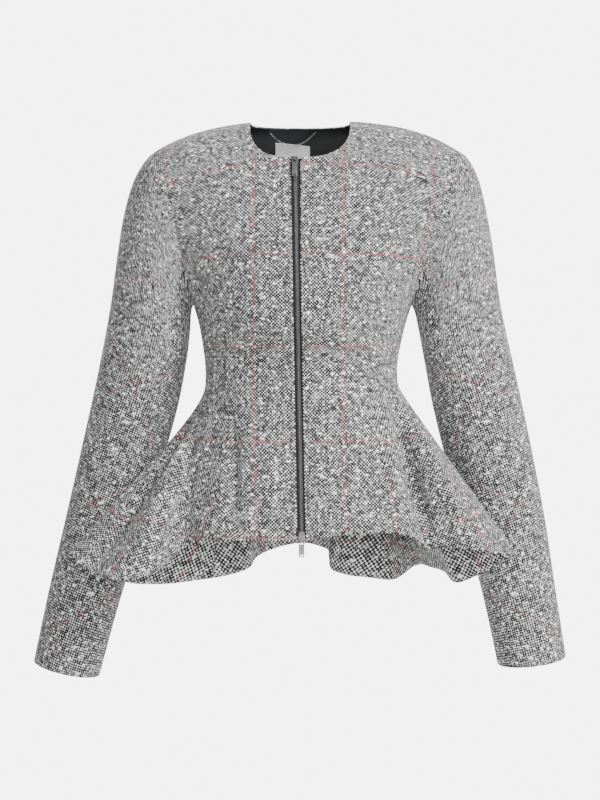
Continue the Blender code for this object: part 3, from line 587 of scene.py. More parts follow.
def clean(mesh, merge=0.0, flatten=0.0):
    """Joins points nearer than merge and faces flatter than an angle, turns faces outward, shades smooth."""
    work = bmesh.new()
    work.from_mesh(mesh)
    if merge:
        bmesh.ops.remove_doubles(work, verts=work.verts, dist=merge)
    if flatten:
        bmesh.ops.dissolve_limit(work, angle_limit=flatten, verts=work.verts, edges=work.edges)
    bmesh.ops.recalc_face_normals(work, faces=work.faces)
    work.to_mesh(mesh)
    work.free()
    mesh.shade_smooth()


def add_mesh(name, points, faces, finishes, finish_of_face=None, uv=None, merge=0.0):
    """One closed piece from arrays, with its finishes and its cloth map."""
    mesh = bpy.data.meshes.new(name)
    mesh.from_pydata(points.tolist(), [], faces.tolist())
    if uv is not None:
        layer = mesh.uv_layers.new(name="cloth")
        corner = np.zeros(len(mesh.loops), np.int32)
        mesh.loops.foreach_get("vertex_index", corner)
        layer.data.foreach_set("uv", uv[corner].astype(np.float32).ravel())
    if finish_of_face is not None:
        mesh.polygons.foreach_set("material_index", finish_of_face.astype(np.int32))
    clean(mesh, merge)
    for finish in finishes:
        mesh.materials.append(finish)
    return place_object(name, mesh)


def dress(piece, node, body=BODY):
    """The piece moves with a body and stands for a node, whose plain solid is hidden."""
    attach(piece, body)
    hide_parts(node)
    return piece


def add_cloth(name, node, finishes, points, outward, free, flat, inside=0, thickness=CLOTH):
    """One piece of cloth as a closed wall with its map; inside numbers the finish of its inner faces."""
    corners, faces, source, count = cloth_wall(points, outward, free, thickness)
    finish = np.zeros(len(faces))
    finish[count:2 * count] = inside
    piece = add_mesh(name, corners, faces, finishes, finish, flat.reshape(-1, 2)[source])
    return dress(piece, node)


# %% [markdown]
# ## Flat cloth and its threads
#
# The weave has to run along the threads, so every panel carries a map in metres of where each point lay
# on the flat cloth. Above the waist, the distance along a row and the distance up the panel will do.
# Below it the panel flares: each point is laid flat on a line from its column's place at the waist,
# turned by the share of the flare that its row has taken up to there, creases counted.

# %% Maps of the flat cloth
PANE_ACROSS = 110.0 * MM
PANE_UP = 115.0 * MM
PANE_RISE = 15.5 * MM
PANE_SHIFT = {-1: 0.0, 1: 4.0 * MM}
LEAD_STEPS = 24


def lengths(points, axis):
    """Distance run along one direction of a grid, from its first point."""
    steps = np.linalg.norm(np.diff(points, axis=axis), axis=-1)
    start = np.zeros_like(np.take(steps, [0], axis=axis))
    return np.concatenate([start, np.cumsum(steps, axis=axis)], axis=axis)


def plain_map(points):
    """Flat map of a small piece: the distance along each row and up each column."""
    return np.stack([lengths(points, 1), lengths(points, 0)], axis=-1)


def plain_size(points):
    """Width and length of a grid laid flat: its longest row and its longest column."""
    return float(lengths(points, 1)[:, -1].max()), float(lengths(points, 0)[-1].max())


def body_map(face, side, points, levels, first, grain):
    """Flat map of a body panel: distance from the centre line across, distance from the waist up."""
    share = np.linspace(0.0, 1.0, LEAD_STEPS)
    lead = skin(face, first[:, None] * share, levels[:, None])
    across = (lengths(lead, 1)[:, -1:] + lengths(points, 1)) * side
    waist = int(np.argmin(np.abs(levels - WAIST)))
    run = lengths(points, 0)
    up = run - run[waist]
    u = across.copy()
    v = np.broadcast_to(up[:, grain:grain + 1], u.shape).copy()
    below = levels < WAIST
    flare = (across[below] - across[waist]) / -up[below]
    flare -= flare[:, grain:grain + 1]
    u[below] = across[waist] - up[below] * np.sin(flare)
    v[below] = up[below] * np.cos(flare)
    return np.stack([u + PANE_SHIFT[side], v + PANE_RISE], axis=-1)


SLEEVE_GRAIN = math.radians(37.0)
SLEEVE_CROSSING = 0.53


def sleeve_map(points, turns):
    """Flat map of a sleeve panel: distance round and up the arm, turned to the slant of the grain."""
    middle = int(np.argmin(np.abs(turns - turns.mean())))
    u = lengths(points, 1)
    u = u - u[:, middle:middle + 1]
    v = -lengths(points, 0)[:, middle:middle + 1] + 0.0 * u
    v = v - v[int(SLEEVE_CROSSING * len(v))]
    turned_u = u * math.cos(SLEEVE_GRAIN) + v * math.sin(SLEEVE_GRAIN)
    turned_v = -u * math.sin(SLEEVE_GRAIN) + v * math.cos(SLEEVE_GRAIN)
    return np.stack([turned_u + PANE_ACROSS / 2, turned_v + PANE_UP / 2], axis=-1)


def area_of(points):
    """Area of a grid: half the cross product of each small face's diagonals."""
    diagonal = points[1:, 1:] - points[:-1, :-1]
    other = points[:-1, 1:] - points[1:, :-1]
    return 0.5 * float(np.linalg.norm(np.cross(diagonal, other), axis=-1).sum())


# %% [markdown]
# ## Weaving the tweed
#
# The cloth is a plain weave of black and white woollen yarns, thick and uneven, so that from near it is a
# checker of soft dots. White slubs stand on it, and a thin red yarn draws a large windowpane.
# Each of these is a node group with its own sockets, so the outside, the heavier looking inside of the
# peplum and any other tweed can share them. Two sines multiplied give the checker: their product is
# positive and negative in turn, and its size is the roundness of the yarn. Noise bends the yarns first.

# %% Node helpers
class Weaver:
    """Short calls that add nodes to one tree and join them."""

    def __init__(self, tree):
        self.tree = tree

    def node(self, kind, **settings):
        made = self.tree.nodes.new(kind)
        for name, value in settings.items():
            setattr(made, name, value)
        return made

    def feed(self, socket, value):
        if isinstance(value, bpy.types.NodeSocket):
            self.tree.links.new(value, socket)
        else:
            socket.default_value = value

    def math(self, operation, *values):
        made = self.node("ShaderNodeMath", operation=operation)
        for socket, value in zip(made.inputs, values):
            self.feed(socket, value)
        return made.outputs[0]

    def vector(self, operation, *values):
        made = self.node("ShaderNodeVectorMath", operation=operation)
        usable = [socket for socket in made.inputs if socket.enabled]
        for socket, value in zip(usable, values):
            self.feed(socket, value)
        return made.outputs[0]

    def noise(self, vector, scale, detail=2.0):
        made = self.node("ShaderNodeTexNoise", noise_dimensions="3D")
        self.feed(made.inputs["Vector"], vector)
        self.feed(made.inputs["Scale"], scale)
        self.feed(made.inputs["Detail"], detail)
        return made

    def wander(self, vector, scale, detail=2.0):
        return self.math("SUBTRACT", self.noise(vector, scale, detail).outputs["Fac"], 0.5)

    def ramp(self, value, low, high, start=0.0, end=1.0):
        made = self.node("ShaderNodeMapRange", interpolation_type="SMOOTHSTEP")
        for name, given in (("From Min", low), ("From Max", high), ("To Min", start), ("To Max", end)):
            self.feed(made.inputs[name], given)
        self.feed(made.inputs["Value"], value)
        return made.outputs[0]

    def mix(self, share, first, second):
        made = self.node("ShaderNodeMix", data_type="RGBA")
        self.feed(made.inputs["Factor"], share)
        self.feed(made.inputs[6], first)
        self.feed(made.inputs[7], second)
        return made.outputs[2]


def new_group(name, inputs, outputs):
    """Empty node group with named sockets; inputs give a socket type and a starting value."""
    group = bpy.data.node_groups.new(name, "ShaderNodeTree")
    for label, (kind, value) in inputs.items():
        socket = group.interface.new_socket(label, in_out="INPUT", socket_type=kind)
        if value is not None:
            socket.default_value = value
    for label, kind in outputs.items():
        group.interface.new_socket(label, in_out="OUTPUT", socket_type=kind)
    weaver = Weaver(group)
    return group, weaver, weaver.node("NodeGroupInput").outputs, weaver.node("NodeGroupOutput").inputs


VECTOR, NUMBER = "NodeSocketVector", "NodeSocketFloat"

# %% Group: black and white yarns crossing
BEND_SCALE, FIBRE_SCALE, PATCH_SCALE = 210.0, 620.0, 75.0
PATCH_TONE = 0.3
PALE_RANGE = (-0.12, 0.4)
FIBRE_RELIEF = 0.8


def yarn_group():
    """Checker of yarns: sine times sine of the bent map, plus chance for each crossing, softly stepped."""
    group, weaver, given, result = new_group(
        "crossing_yarns",
        {"Vector": (VECTOR, None), "Pitch": (NUMBER, 0.0018), "Bend": (NUMBER, 0.5), "Fuzz": (NUMBER, 0.8),
         "Chance": (NUMBER, 0.95), "Dark Share": (NUMBER, 0.25)},
        {"Pale": NUMBER, "Relief": NUMBER},
    )
    bend = weaver.noise(given["Vector"], BEND_SCALE)
    shift = weaver.vector("SUBTRACT", bend.outputs["Color"], (0.5, 0.5, 0.5))
    amount = weaver.math("MULTIPLY", given["Pitch"], given["Bend"])
    bent = weaver.vector("ADD", given["Vector"], weaver.vector("SCALE", shift, amount))
    crossings = weaver.vector("SCALE", bent, weaver.math("DIVIDE", 1.0, given["Pitch"]))
    draw = weaver.node("ShaderNodeTexWhiteNoise", noise_dimensions="2D")
    weaver.feed(draw.inputs["Vector"], weaver.vector("FLOOR", crossings))
    chance = weaver.math("MULTIPLY", weaver.math("SUBTRACT", draw.outputs["Value"], 0.5), given["Chance"])
    parts = weaver.node("ShaderNodeSeparateXYZ")
    weaver.feed(parts.inputs[0], weaver.vector("SCALE", crossings, math.pi))
    checker = weaver.math("MULTIPLY", *(weaver.math("SINE", parts.outputs[k]) for k in range(2)))
    fibre = weaver.wander(given["Vector"], FIBRE_SCALE, 3.0)
    patch = weaver.math("MULTIPLY", weaver.wander(given["Vector"], PATCH_SCALE), PATCH_TONE)
    fuzz = weaver.math("ADD", weaver.math("MULTIPLY", fibre, given["Fuzz"]), patch)
    darkened = weaver.math("SUBTRACT", fuzz, given["Dark Share"])
    tone = weaver.math("ADD", weaver.math("ADD", checker, chance), darkened)
    weaver.feed(result["Pale"], weaver.ramp(tone, *PALE_RANGE))
    dome = weaver.math("ABSOLUTE", checker)
    weaver.feed(result["Relief"], weaver.math("ADD", dome, weaver.math("MULTIPLY", fibre, FIBRE_RELIEF)))
    return group


# %% Group: pale slubs
SLUB_STRETCH = (0.7, 1.0, 1.0)
SLUB_SIZES = (0.3, 1.0, 0.0, 1.5)
SLUB_CORE = 0.45
TORN_SCALE = 420.0
TORN_EDGE = 0.5


def slub_group():
    """Slubs: round cells whose own random colour sets their size, with an edge torn by noise."""
    group, weaver, given, result = new_group(
        "pale_slubs",
        {"Vector": (VECTOR, None), "Spacing": (NUMBER, 0.014), "Size": (NUMBER, 0.0022)},
        {"Slub": NUMBER},
    )
    per_cell = weaver.math("DIVIDE", 1.0, given["Spacing"])
    cells = weaver.node("ShaderNodeTexVoronoi", voronoi_dimensions="2D", feature="F1")
    weaver.feed(cells.inputs["Vector"], weaver.vector("MULTIPLY", given["Vector"], SLUB_STRETCH))
    weaver.feed(cells.inputs["Scale"], per_cell)
    torn = weaver.math("MULTIPLY", weaver.wander(given["Vector"], TORN_SCALE), TORN_EDGE)
    pick = weaver.node("ShaderNodeSeparateColor")
    weaver.feed(pick.inputs[0], cells.outputs["Color"])
    size = weaver.math("MULTIPLY", weaver.ramp(pick.outputs[0], *SLUB_SIZES), given["Size"])
    reach = weaver.math("MULTIPLY", size, per_cell)
    edge = weaver.math("ADD", cells.outputs["Distance"], torn)
    weaver.feed(result["Slub"], weaver.ramp(edge, reach, weaver.math("MULTIPLY", reach, SLUB_CORE)))
    return group


# %% Group: windowpane lines
PANE_CORE = 0.3
WORN_SCALE = 55.0
WORN_RANGE = (0.36, 0.6, 0.15, 1.0)


def pane_group():
    """Windowpane: near a line halfway across each repeat, along both threads, faded in places by noise."""
    group, weaver, given, result = new_group(
        "windowpane",
        {"Vector": (VECTOR, None), "Across": (NUMBER, PANE_ACROSS), "Up": (NUMBER, PANE_UP),
         "Width": (NUMBER, 0.0024), "Strength": (NUMBER, 1.0)},
        {"Line": NUMBER},
    )
    parts = weaver.node("ShaderNodeSeparateXYZ")
    weaver.feed(parts.inputs[0], given["Vector"])
    core = weaver.math("MULTIPLY", given["Width"], PANE_CORE)
    near = []
    for coordinate, repeat in ((parts.outputs[0], given["Across"]), (parts.outputs[1], given["Up"])):
        share = weaver.math("FLOORED_MODULO", weaver.math("DIVIDE", coordinate, repeat), 1.0)
        away = weaver.math("MULTIPLY", weaver.math("ABSOLUTE", weaver.math("SUBTRACT", share, 0.5)), repeat)
        near.append(weaver.ramp(away, given["Width"], core))
    line = weaver.math("MAXIMUM", *near)
    worn = weaver.ramp(weaver.noise(given["Vector"], WORN_SCALE).outputs["Fac"], *WORN_RANGE)
    kept = weaver.math("MULTIPLY", worn, given["Strength"])
    weaver.feed(result["Line"], weaver.math("MULTIPLY", line, kept))
    return group


GROUPS = {"yarn": yarn_group(), "slub": slub_group(), "pane": pane_group()}
print("node groups:", ", ".join(GROUPS))

# %% [markdown]
# ## The finishes
#
# The Principled shader stays in each material. Plain numbers, such as the sheen of wool, are set on
# its sockets, and only what changes over the cloth is linked. The yarns also lift the surface through a
# Bump node, because at two millimetres they are finer than any grid that is worth making.

# %% Tweed, inside and out
def new_material(name):
    """Material with its Principled shader and a weaver for its tree."""
    made = bpy.data.materials.new(name)
    made.use_nodes = True
    shader = made.node_tree.nodes["Principled BSDF"]
    return made, shader, Weaver(made.node_tree)


def use_group(weaver, group, vector, **values):
    """One group placed in a material with its own values."""
    made = weaver.node("ShaderNodeGroup", node_tree=group)
    weaver.feed(made.inputs["Vector"], vector)
    for name, value in values.items():
        weaver.feed(made.inputs[name], value)
    return made.outputs


def lift(weaver, shader, height, strength, distance):
    """Lifts the surface by a height, through a Bump node."""
    bump = weaver.node("ShaderNodeBump")
    bump.inputs["Strength"].default_value = strength
    bump.inputs["Distance"].default_value = distance
    weaver.feed(bump.inputs["Height"], height)
    weaver.feed(shader.inputs["Normal"], bump.outputs["Normal"])


DARK_YARN = (0.005, 0.005, 0.006, 1.0)
GREY_YARN = (0.022, 0.023, 0.026, 1.0)
PALE_YARN = (0.58, 0.585, 0.59, 1.0)
CREAM_YARN = (0.76, 0.76, 0.75, 1.0)
WHITE_YARN_AND_PAINTED_LIGHT = (0.92, 0.92, 0.915, 1.0)
SLUB_WHITE = (0.97, 0.97, 0.965, 1.0)
RED_YARN = (0.56, 0.14, 0.18, 1.0)
RED_ON_YARNS = (0.22, 0.85)
SLEEVE_RED = 0.55
SMALL_SLUB_SHIFT = (0.313, 0.171, 0.0)
SMALL_SLUB_SPACING, SMALL_SLUB_SIZE = 0.55, 0.6
SLUB_RELIEF = 0.9
TONE_SCALE, TONE_RANGE = 140.0, (0.35, 0.65)
WOOL_BUMP = (0.55, 0.5 * MM)
WOOL = {"Roughness": 0.92, "Specular IOR Level": 0.25, "Sheen Weight": 0.12, "Sheen Roughness": 0.6}
Weave = namedtuple("Weave", "pitch bend dark_share pales slub_spacing slub_size red")
OUTSIDE = Weave(2.04 * MM, 0.6, 0.25, (PALE_YARN, CREAM_YARN), 10.0 * MM, 1.5 * MM, 1.0)
# The inside weave is coarser, and its paler yarns are painted light that brightens the inside of the peplum,
# which lies in shade.
INSIDE_WEAVE_AND_PAINTED_LIGHT = Weave(2.75 * MM, 0.5, 0.14, (CREAM_YARN, WHITE_YARN_AND_PAINTED_LIGHT), 16.0 * MM, 1.8 * MM, 1.0)


def tweed_material(name, weave):
    """Tweed: yarns crossing, two sizes of slubs and the red windowpane, over the map of the flat cloth."""
    made, shader, weaver = new_material(name)
    cloth = weaver.node("ShaderNodeUVMap", uv_map="cloth").outputs[0]
    share = {"Dark Share": weave.dark_share}
    yarn = use_group(weaver, GROUPS["yarn"], cloth, Pitch=weave.pitch, Bend=weave.bend, **share)
    spacing, size = weave.slub_spacing, weave.slub_size
    large = use_group(weaver, GROUPS["slub"], cloth, Spacing=spacing, Size=size)
    moved = weaver.vector("ADD", cloth, SMALL_SLUB_SHIFT)
    small = use_group(
        weaver, GROUPS["slub"], moved, Spacing=spacing * SMALL_SLUB_SPACING, Size=size * SMALL_SLUB_SIZE)
    line = use_group(weaver, GROUPS["pane"], cloth, Strength=weave.red)
    patch = weaver.ramp(weaver.noise(cloth, TONE_SCALE, 3.0).outputs["Fac"], *TONE_RANGE)
    dark = weaver.mix(patch, DARK_YARN, GREY_YARN)
    pale = weaver.mix(patch, *weave.pales)
    woven = weaver.mix(yarn["Pale"], dark, pale)
    on_pale = weaver.ramp(yarn["Pale"], 0.0, 1.0, *RED_ON_YARNS)
    tinted = weaver.mix(weaver.math("MULTIPLY", line["Line"], on_pale), woven, RED_YARN)
    slub = weaver.math("MAXIMUM", large["Slub"], small["Slub"])
    weaver.feed(shader.inputs["Base Color"], weaver.mix(slub, tinted, SLUB_WHITE))
    relief = weaver.math("ADD", yarn["Relief"], weaver.math("MULTIPLY", slub, SLUB_RELIEF))
    lift(weaver, shader, relief, *WOOL_BUMP)
    for label, value in WOOL.items():
        shader.inputs[label].default_value = value
    return made


TWEED = tweed_material("tweed_outside", OUTSIDE)
TWEED_SLEEVE = tweed_material("tweed_sleeve", OUTSIDE._replace(red=SLEEVE_RED))
TWEED_INSIDE_AND_PAINTED_LIGHT = tweed_material("tweed_inside_and_painted_light", INSIDE_WEAVE_AND_PAINTED_LIGHT)


# %% Satin, tape and label cloth
RIB_DISTORTION = 0.6
RIB_BUMP = 0.4
SHINE_CHANGE = 0.08
SLOW_SCALE, FOLD_SCALE = 60.0, 28.0


def ribbed_material(name, dark, pale, ribs, roughness, bump_depth, fold):
    """Fine woven cloth: close ribs along the map, with slow folds and changes of tone and shine."""
    made, shader, weaver = new_material(name)
    cloth = weaver.node("ShaderNodeUVMap", uv_map="cloth").outputs[0]
    wave = weaver.node("ShaderNodeTexWave", wave_type="BANDS", bands_direction="DIAGONAL")
    weaver.feed(wave.inputs["Vector"], cloth)
    wave.inputs["Scale"].default_value = ribs
    wave.inputs["Distortion"].default_value = RIB_DISTORTION
    slow = weaver.noise(cloth, SLOW_SCALE, 3.0).outputs["Fac"]
    halves = [weaver.math("MULTIPLY", value, 0.5) for value in (wave.outputs["Fac"], slow)]
    weaver.feed(shader.inputs["Base Color"], weaver.mix(weaver.math("ADD", *halves), dark, pale))
    shine = weaver.ramp(slow, 0.2, 0.8, roughness - SHINE_CHANGE, roughness + SHINE_CHANGE)
    weaver.feed(shader.inputs["Roughness"], shine)
    soft = weaver.math("MULTIPLY", weaver.noise(cloth, FOLD_SCALE, 1.0).outputs["Fac"], fold)
    lift(weaver, shader, weaver.math("ADD", wave.outputs["Fac"], soft), RIB_BUMP, bump_depth)
    return made


SATIN = ribbed_material(
    "black_satin", (0.010, 0.011, 0.013, 1.0), (0.020, 0.022, 0.026, 1.0), 900.0, 0.36, 0.08 * MM, 70.0)
TAPE = ribbed_material(
    "zip_tape", (0.008, 0.008, 0.009, 1.0), (0.03, 0.03, 0.032, 1.0), 420.0, 0.8, 0.2 * MM, 0.0)
LABEL_CLOTH = ribbed_material(
    "label_weave", (0.94, 0.95, 0.96, 1.0), (0.98, 0.985, 0.99, 1.0), 500.0, 0.6, 0.1 * MM, 4.0)


# %% Metal
CLOUD_SCALE, SCRATCH_SCALE = 700.0, 5000.0
SCRATCH_STRETCH = (1.0, 1.0, 0.08)
LESS_ROUGH, MORE_ROUGH = 0.1, 0.12


def metal_material(name, dark, pale, roughness):
    """Dull plated metal: cloudy tone and shine, with fine scratches along the height."""
    made, shader, weaver = new_material(name)
    place = weaver.node("ShaderNodeTexCoord").outputs["Object"]
    cloud = weaver.noise(place, CLOUD_SCALE, 3.0).outputs["Fac"]
    stretched = weaver.vector("MULTIPLY", place, SCRATCH_STRETCH)
    scratch = weaver.noise(stretched, SCRATCH_SCALE).outputs["Fac"]
    weaver.feed(shader.inputs["Base Color"], weaver.mix(weaver.ramp(cloud, 0.3, 0.7), dark, pale))
    shine = weaver.ramp(scratch, 0.25, 0.75, roughness - LESS_ROUGH, roughness + MORE_ROUGH)
    weaver.feed(shader.inputs["Roughness"], shine)
    shader.inputs["Metallic"].default_value = 1.0
    return made


GUNMETAL = metal_material("gunmetal_teeth", (0.10, 0.10, 0.105, 1.0), (0.20, 0.20, 0.205, 1.0), 0.38)
STEEL = metal_material("dull_silver", (0.12, 0.118, 0.116, 1.0), (0.2, 0.197, 0.194, 1.0), 0.46)
BRIGHT_STEEL = metal_material("bright_links", (0.72, 0.72, 0.73, 1.0), (0.9, 0.9, 0.9, 1.0), 0.24)
print("tweeds:", ", ".join(finish.name for finish in (TWEED, TWEED_SLEEVE, TWEED_INSIDE_AND_PAINTED_LIGHT)))

# %% [markdown]
# ## Fronts, backs and side panels
#
# The princess seams run from the hem over the bust and end in the armhole, so the front and back keep
# going up to the shoulder while the side panels stop. The rows of both sides of a seam are the same,
# which keeps it closed. Near the neckline the rows follow even steps round its ellipse, so the curve
# stays round. The inside is satin above the waist and tweed below it.

# %% Rows and columns of the body
PEPLUM_ROWS = 66
BODICE_ROWS = 28
CHEST_ROWS = 54
NECK_ROWS = 30
BACK_RISE_ROWS = 9
TIP_ROW = {"front": 30, "back": 36}
TIP_STEP = 0.002
COLUMNS = {"front": 52, "side_front": 112, "back": 60, "side_back": 92}
ARMHOLE_FADE = 0.16
HEM_SAMPLES = 800


def upper_rows(face):
    """Rows from the armpit to the shoulder: even to the neck, then even steps round the neckline."""
    turn = np.linspace(0.0, math.pi / 2, NECK_ROWS + 1)[:-1]
    neck = level_of(face, NECK_TOP_Z - NECK_DROP[face] * np.cos(turn) ** (2.0 / NECK_POWER)) - ARMPIT
    rows = [np.linspace(0.0, FRONT_NECK, CHEST_ROWS + 1)[:-1]]
    if face == "back":
        rows.append(np.linspace(FRONT_NECK, BACK_NECK, BACK_RISE_ROWS + 1)[:-1])
    return np.concatenate([*rows, neck, [1.0]])


def lower_rows():
    """Rows from the hem to the armpit."""
    return np.concatenate([
        np.linspace(HEM, WAIST, PEPLUM_ROWS + 1)[:-1], np.linspace(WAIST, ARMPIT, BODICE_ROWS + 1)])


def hem_shares(face, first, last, columns):
    """Column places that share the hem between two seams into equal lengths."""
    fine = np.linspace(0.0, 1.0, HEM_SAMPLES)
    run = lengths(skin(face, first + (last - first) * fine, HEM), 0)
    return np.interp(np.linspace(0.0, run[-1], columns + 1), run, fine)


def panel(face, side, levels, first, last, columns):
    """Points and outward directions of a panel between two seams, one row for each level, with creases."""
    even = np.linspace(0.0, 1.0, columns + 1)
    by_hem = hem_shares(face, first[0], last[0], columns)
    blend = np.clip(levels, 0.0, 1.0)[:, None]
    share = by_hem * (1.0 - blend) + even * blend
    t = first[:, None] + (last - first)[:, None] * share
    level = np.broadcast_to(levels[:, None], t.shape)
    points = skin(face, t, level)
    outward = skin_normal(face, t, level)
    on_armhole = (np.abs(last) > 1.0 - TINY) & (levels >= ARMPIT)
    outward[on_armhole, -1] = armhole_out(face, side, levels[on_armhole] - ARMPIT)
    held = np.where(level > ARMPIT, ease(0.0, ARMHOLE_FADE, 1.0 - np.abs(t)), 1.0)
    height = body_creases(face, points) * held
    return points + outward * height[..., None], outward


def panel_rows(face):
    """Rows of a main panel, the rows of its side panel, and the height of the tip where they part."""
    upper = upper_rows(face)
    tip = upper[TIP_ROW[face]]
    main = np.sort(np.concatenate([lower_rows(), ARMPIT + upper[1:], [ARMPIT + tip + TIP_STEP]]))
    return main, main[main <= ARMPIT + tip], tip


CUTS = {}


def add_panel(name, face, side, levels, first, last, columns, free, grain):
    """One body panel as a closed wall with its map, and its cut as flat cloth."""
    points, outward = panel(face, side, levels, side * first, side * last, columns)
    flat = body_map(face, side, points, levels, side * first, grain)
    inside = np.where(np.repeat(levels[:-1], columns) >= WAIST, 1, 2)
    # Below the waist the inner faces take the inside tweed, whose paler yarns are painted light on that
    # shaded side.
    finishes = (TWEED, SATIN, TWEED_INSIDE_AND_PAINTED_LIGHT)
    piece = add_cloth("cloth_" + name, name, finishes, points, outward, free, flat, inside)
    size = np.ptp(flat.reshape(-1, 2), axis=0)
    CUTS[name] = (piece, size, min(area_of(points), float(size.prod())))


# %% Sew the body
for word, side in SIDES.items():
    for face in ("front", "back"):
        main_rows, side_rows, tip = panel_rows(face)
        first = neck_edge(face, side, main_rows)
        if face == "front":
            first = np.maximum(first, side * zip_edge(side * ZIP_HALF, main_rows))
        last = np.where(main_rows > ARMPIT + tip, 1.0, princess(tip, main_rows))
        free = ("bottom", "first") if face == "front" else ("bottom",)
        add_panel(f"{face}_{word}", face, side, main_rows, first, last, COLUMNS[face], free, 0)
        columns = COLUMNS["side_" + face]
        add_panel(
            f"side_{face}_{word}", face, side, side_rows, princess(tip, side_rows), np.ones_like(side_rows),
            columns, ("bottom",), columns // 2)
print("body panels:", len(CUTS))

# %% [markdown]
# ## Sleeves
#
# Each sleeve is cut in two: an upper half round the outer arm and an under half inside. The grid goes
# round the ellipse and down the arm. The first row lies on the armhole and shares its direction
# through the wall with the body, so the two walls meet in a mitre.

# %% Sew the sleeves
SLEEVE_ROWS = 190
SLEEVE_SPACING = 1.15
UPPER_COLUMNS = 76
UNDER_COLUMNS = 52
FRONT_SEAM_SHARE = 4.0 / 9.0
BACK_SEAM_SHARE = 5.0 / 9.0
CAP_FADE = 0.05


def add_sleeve(word, side, part, turns, columns):
    """One sleeve half as a closed wall with its map, from the armhole to the cuff."""
    turn = np.linspace(*turns, columns + 1)
    along = np.linspace(0.0, 1.0, SLEEVE_ROWS + 1) ** SLEEVE_SPACING
    angle = np.broadcast_to(math.pi * turn, (len(along), len(turn)))
    run = np.broadcast_to(along[:, None], angle.shape)
    points = sleeve(side, angle, run)
    outward = sleeve_normal(side, angle, run).copy()
    wrapped = turn % 2.0
    for face, chosen in (("front", wrapped <= 1.0), ("back", wrapped > 1.0)):
        if chosen.any():
            outward[0, chosen] = armhole_out(face, side, np.abs(1.0 - wrapped[chosen]))
    height = sleeve_creases(side, points) * ease(0.0, CAP_FADE, run)
    points = points + outward * height[..., None]
    flat = sleeve_map(points, turn)
    name = f"{part}_sleeve_{word}"
    finishes = (TWEED_SLEEVE, SATIN)
    piece = add_cloth("cloth_" + name, name, finishes, points, outward, ("top",), flat, 1)
    width, length = plain_size(points)
    CUTS[name] = (piece, (width, length), min(area_of(points), width * length))


front_seam = 1.0 - FRONT_SEAM_SHARE * FRONT_NECK
back_seam = 1.0 + BACK_SEAM_SHARE * FRONT_NECK
for word, side in SIDES.items():
    add_sleeve(word, side, "upper", (back_seam - 2.0, front_seam), UPPER_COLUMNS)
    add_sleeve(word, side, "under", (front_seam, back_seam), UNDER_COLUMNS)
print("cloth panels:", len(CUTS))

# %% [markdown]
# ## The cut of each piece
#
# The size of the rectangle each panel is cut from and its own flat area are printed.

# %% State the flat cuts
for name, (piece, size, area) in CUTS.items():
    print(f"{name}: {size[0] * 1000:.0f} x {size[1] * 1000:.0f} mm, {area * 1e4:.0f} cm2")

# %% [markdown]
# ## The zip
#
# A metal zip is two rows of small cast teeth clamped on tapes. Each tooth here is a superellipsoid, a
# block whose edges are rounded by raising sines and cosines to a small power. All teeth are made in one
# array: the shape is worked out once and carried to a place and three directions for each tooth.

# %% Tapes behind the front edges
TAPE_HALF = 13.0 * MM
TAPE_GAP = 0.4 * MM
TAPE_THICK = 0.9 * MM
TAPE_SPLIT = 0.2 * MM
TAPE_COLUMNS = 8
CHAIN_HALF = 2.55 * MM


def zip_place(offset, levels):
    """Point on the front skin at a distance from the zip's centre, and the outward direction there."""
    t = zip_edge(offset, levels)
    return skin("front", t, levels), skin_normal("front", t, levels)


zip_rows = np.concatenate([lower_rows(), ARMPIT + np.linspace(0.0, FRONT_NECK, CHEST_ROWS + 1)[1:]])
for word, side in SIDES.items():
    offsets = side * np.linspace(TAPE_SPLIT, TAPE_HALF, TAPE_COLUMNS + 1)
    places = [zip_place(offset, zip_rows) for offset in offsets]
    points = np.stack([place[0] for place in places], axis=1)
    outward = np.stack([place[1] for place in places], axis=1)
    points = points - (CLOTH + TAPE_GAP) * outward
    piece = add_cloth(
        "tape_" + word, "zip_tape_" + word, (TAPE,), points, outward, (), plain_map(points),
        thickness=TAPE_THICK)
    plain_size(points)[1]

# %% Teeth
TOOTH_PITCH = 2.3 * MM
TOOTH_HALF_LONG = 0.62 * MM
TOOTH_OVERLAP = 0.75 * MM
TOOTH_HALF_HIGH = 1.0 * MM
TOOTH_SINK = 1.25 * MM
TOOTH_SQUARENESS = 0.45
TOOTH_ROUND = 8
TOOTH_RINGS = 6
POLE_MERGE = 1e-7


def superellipsoid(rings, around_count, power):
    """Rounded block of half size one: each sine and cosine raised to a small power with its sign kept."""
    def squared(values):
        return np.sign(values) * np.abs(values) ** power

    up = np.linspace(-math.pi / 2, math.pi / 2, rings + 1)[:, None]
    turn = np.linspace(0.0, 2 * math.pi, around_count, endpoint=False)[None, :]
    x = squared(np.cos(up)) * squared(np.cos(turn))
    y = squared(np.cos(up)) * squared(np.sin(turn))
    z = squared(np.sin(up)) + 0.0 * turn
    return np.stack([x, y, z], axis=-1)


def tube_faces(rings, count, closed_along=False):
    """Faces of a grid that closes round each ring, and end to end if asked."""
    index = np.arange(rings * count).reshape(rings, count)
    after = np.roll(index, -1, axis=1)
    above = np.roll(index, -1, axis=0)
    quads = np.stack([index, after, np.roll(above, -1, axis=1), above], axis=-1)
    return (quads if closed_along else quads[:-1]).reshape(-1, 4)


def copies(shape, faces, places, axes):
    """One shape carried to many places: its three coordinates run along each copy's own three directions."""
    points = places[:, None] + np.einsum("pk,nkd->npd", shape, axes)
    shift = np.arange(len(places))[:, None, None] * len(shape)
    return points.reshape(-1, 3), (faces[None] + shift).reshape(-1, faces.shape[1])


def alternate(count):
    """One and minus one in turn."""
    return np.where(np.arange(count) % 2 == 0, 1.0, -1.0)


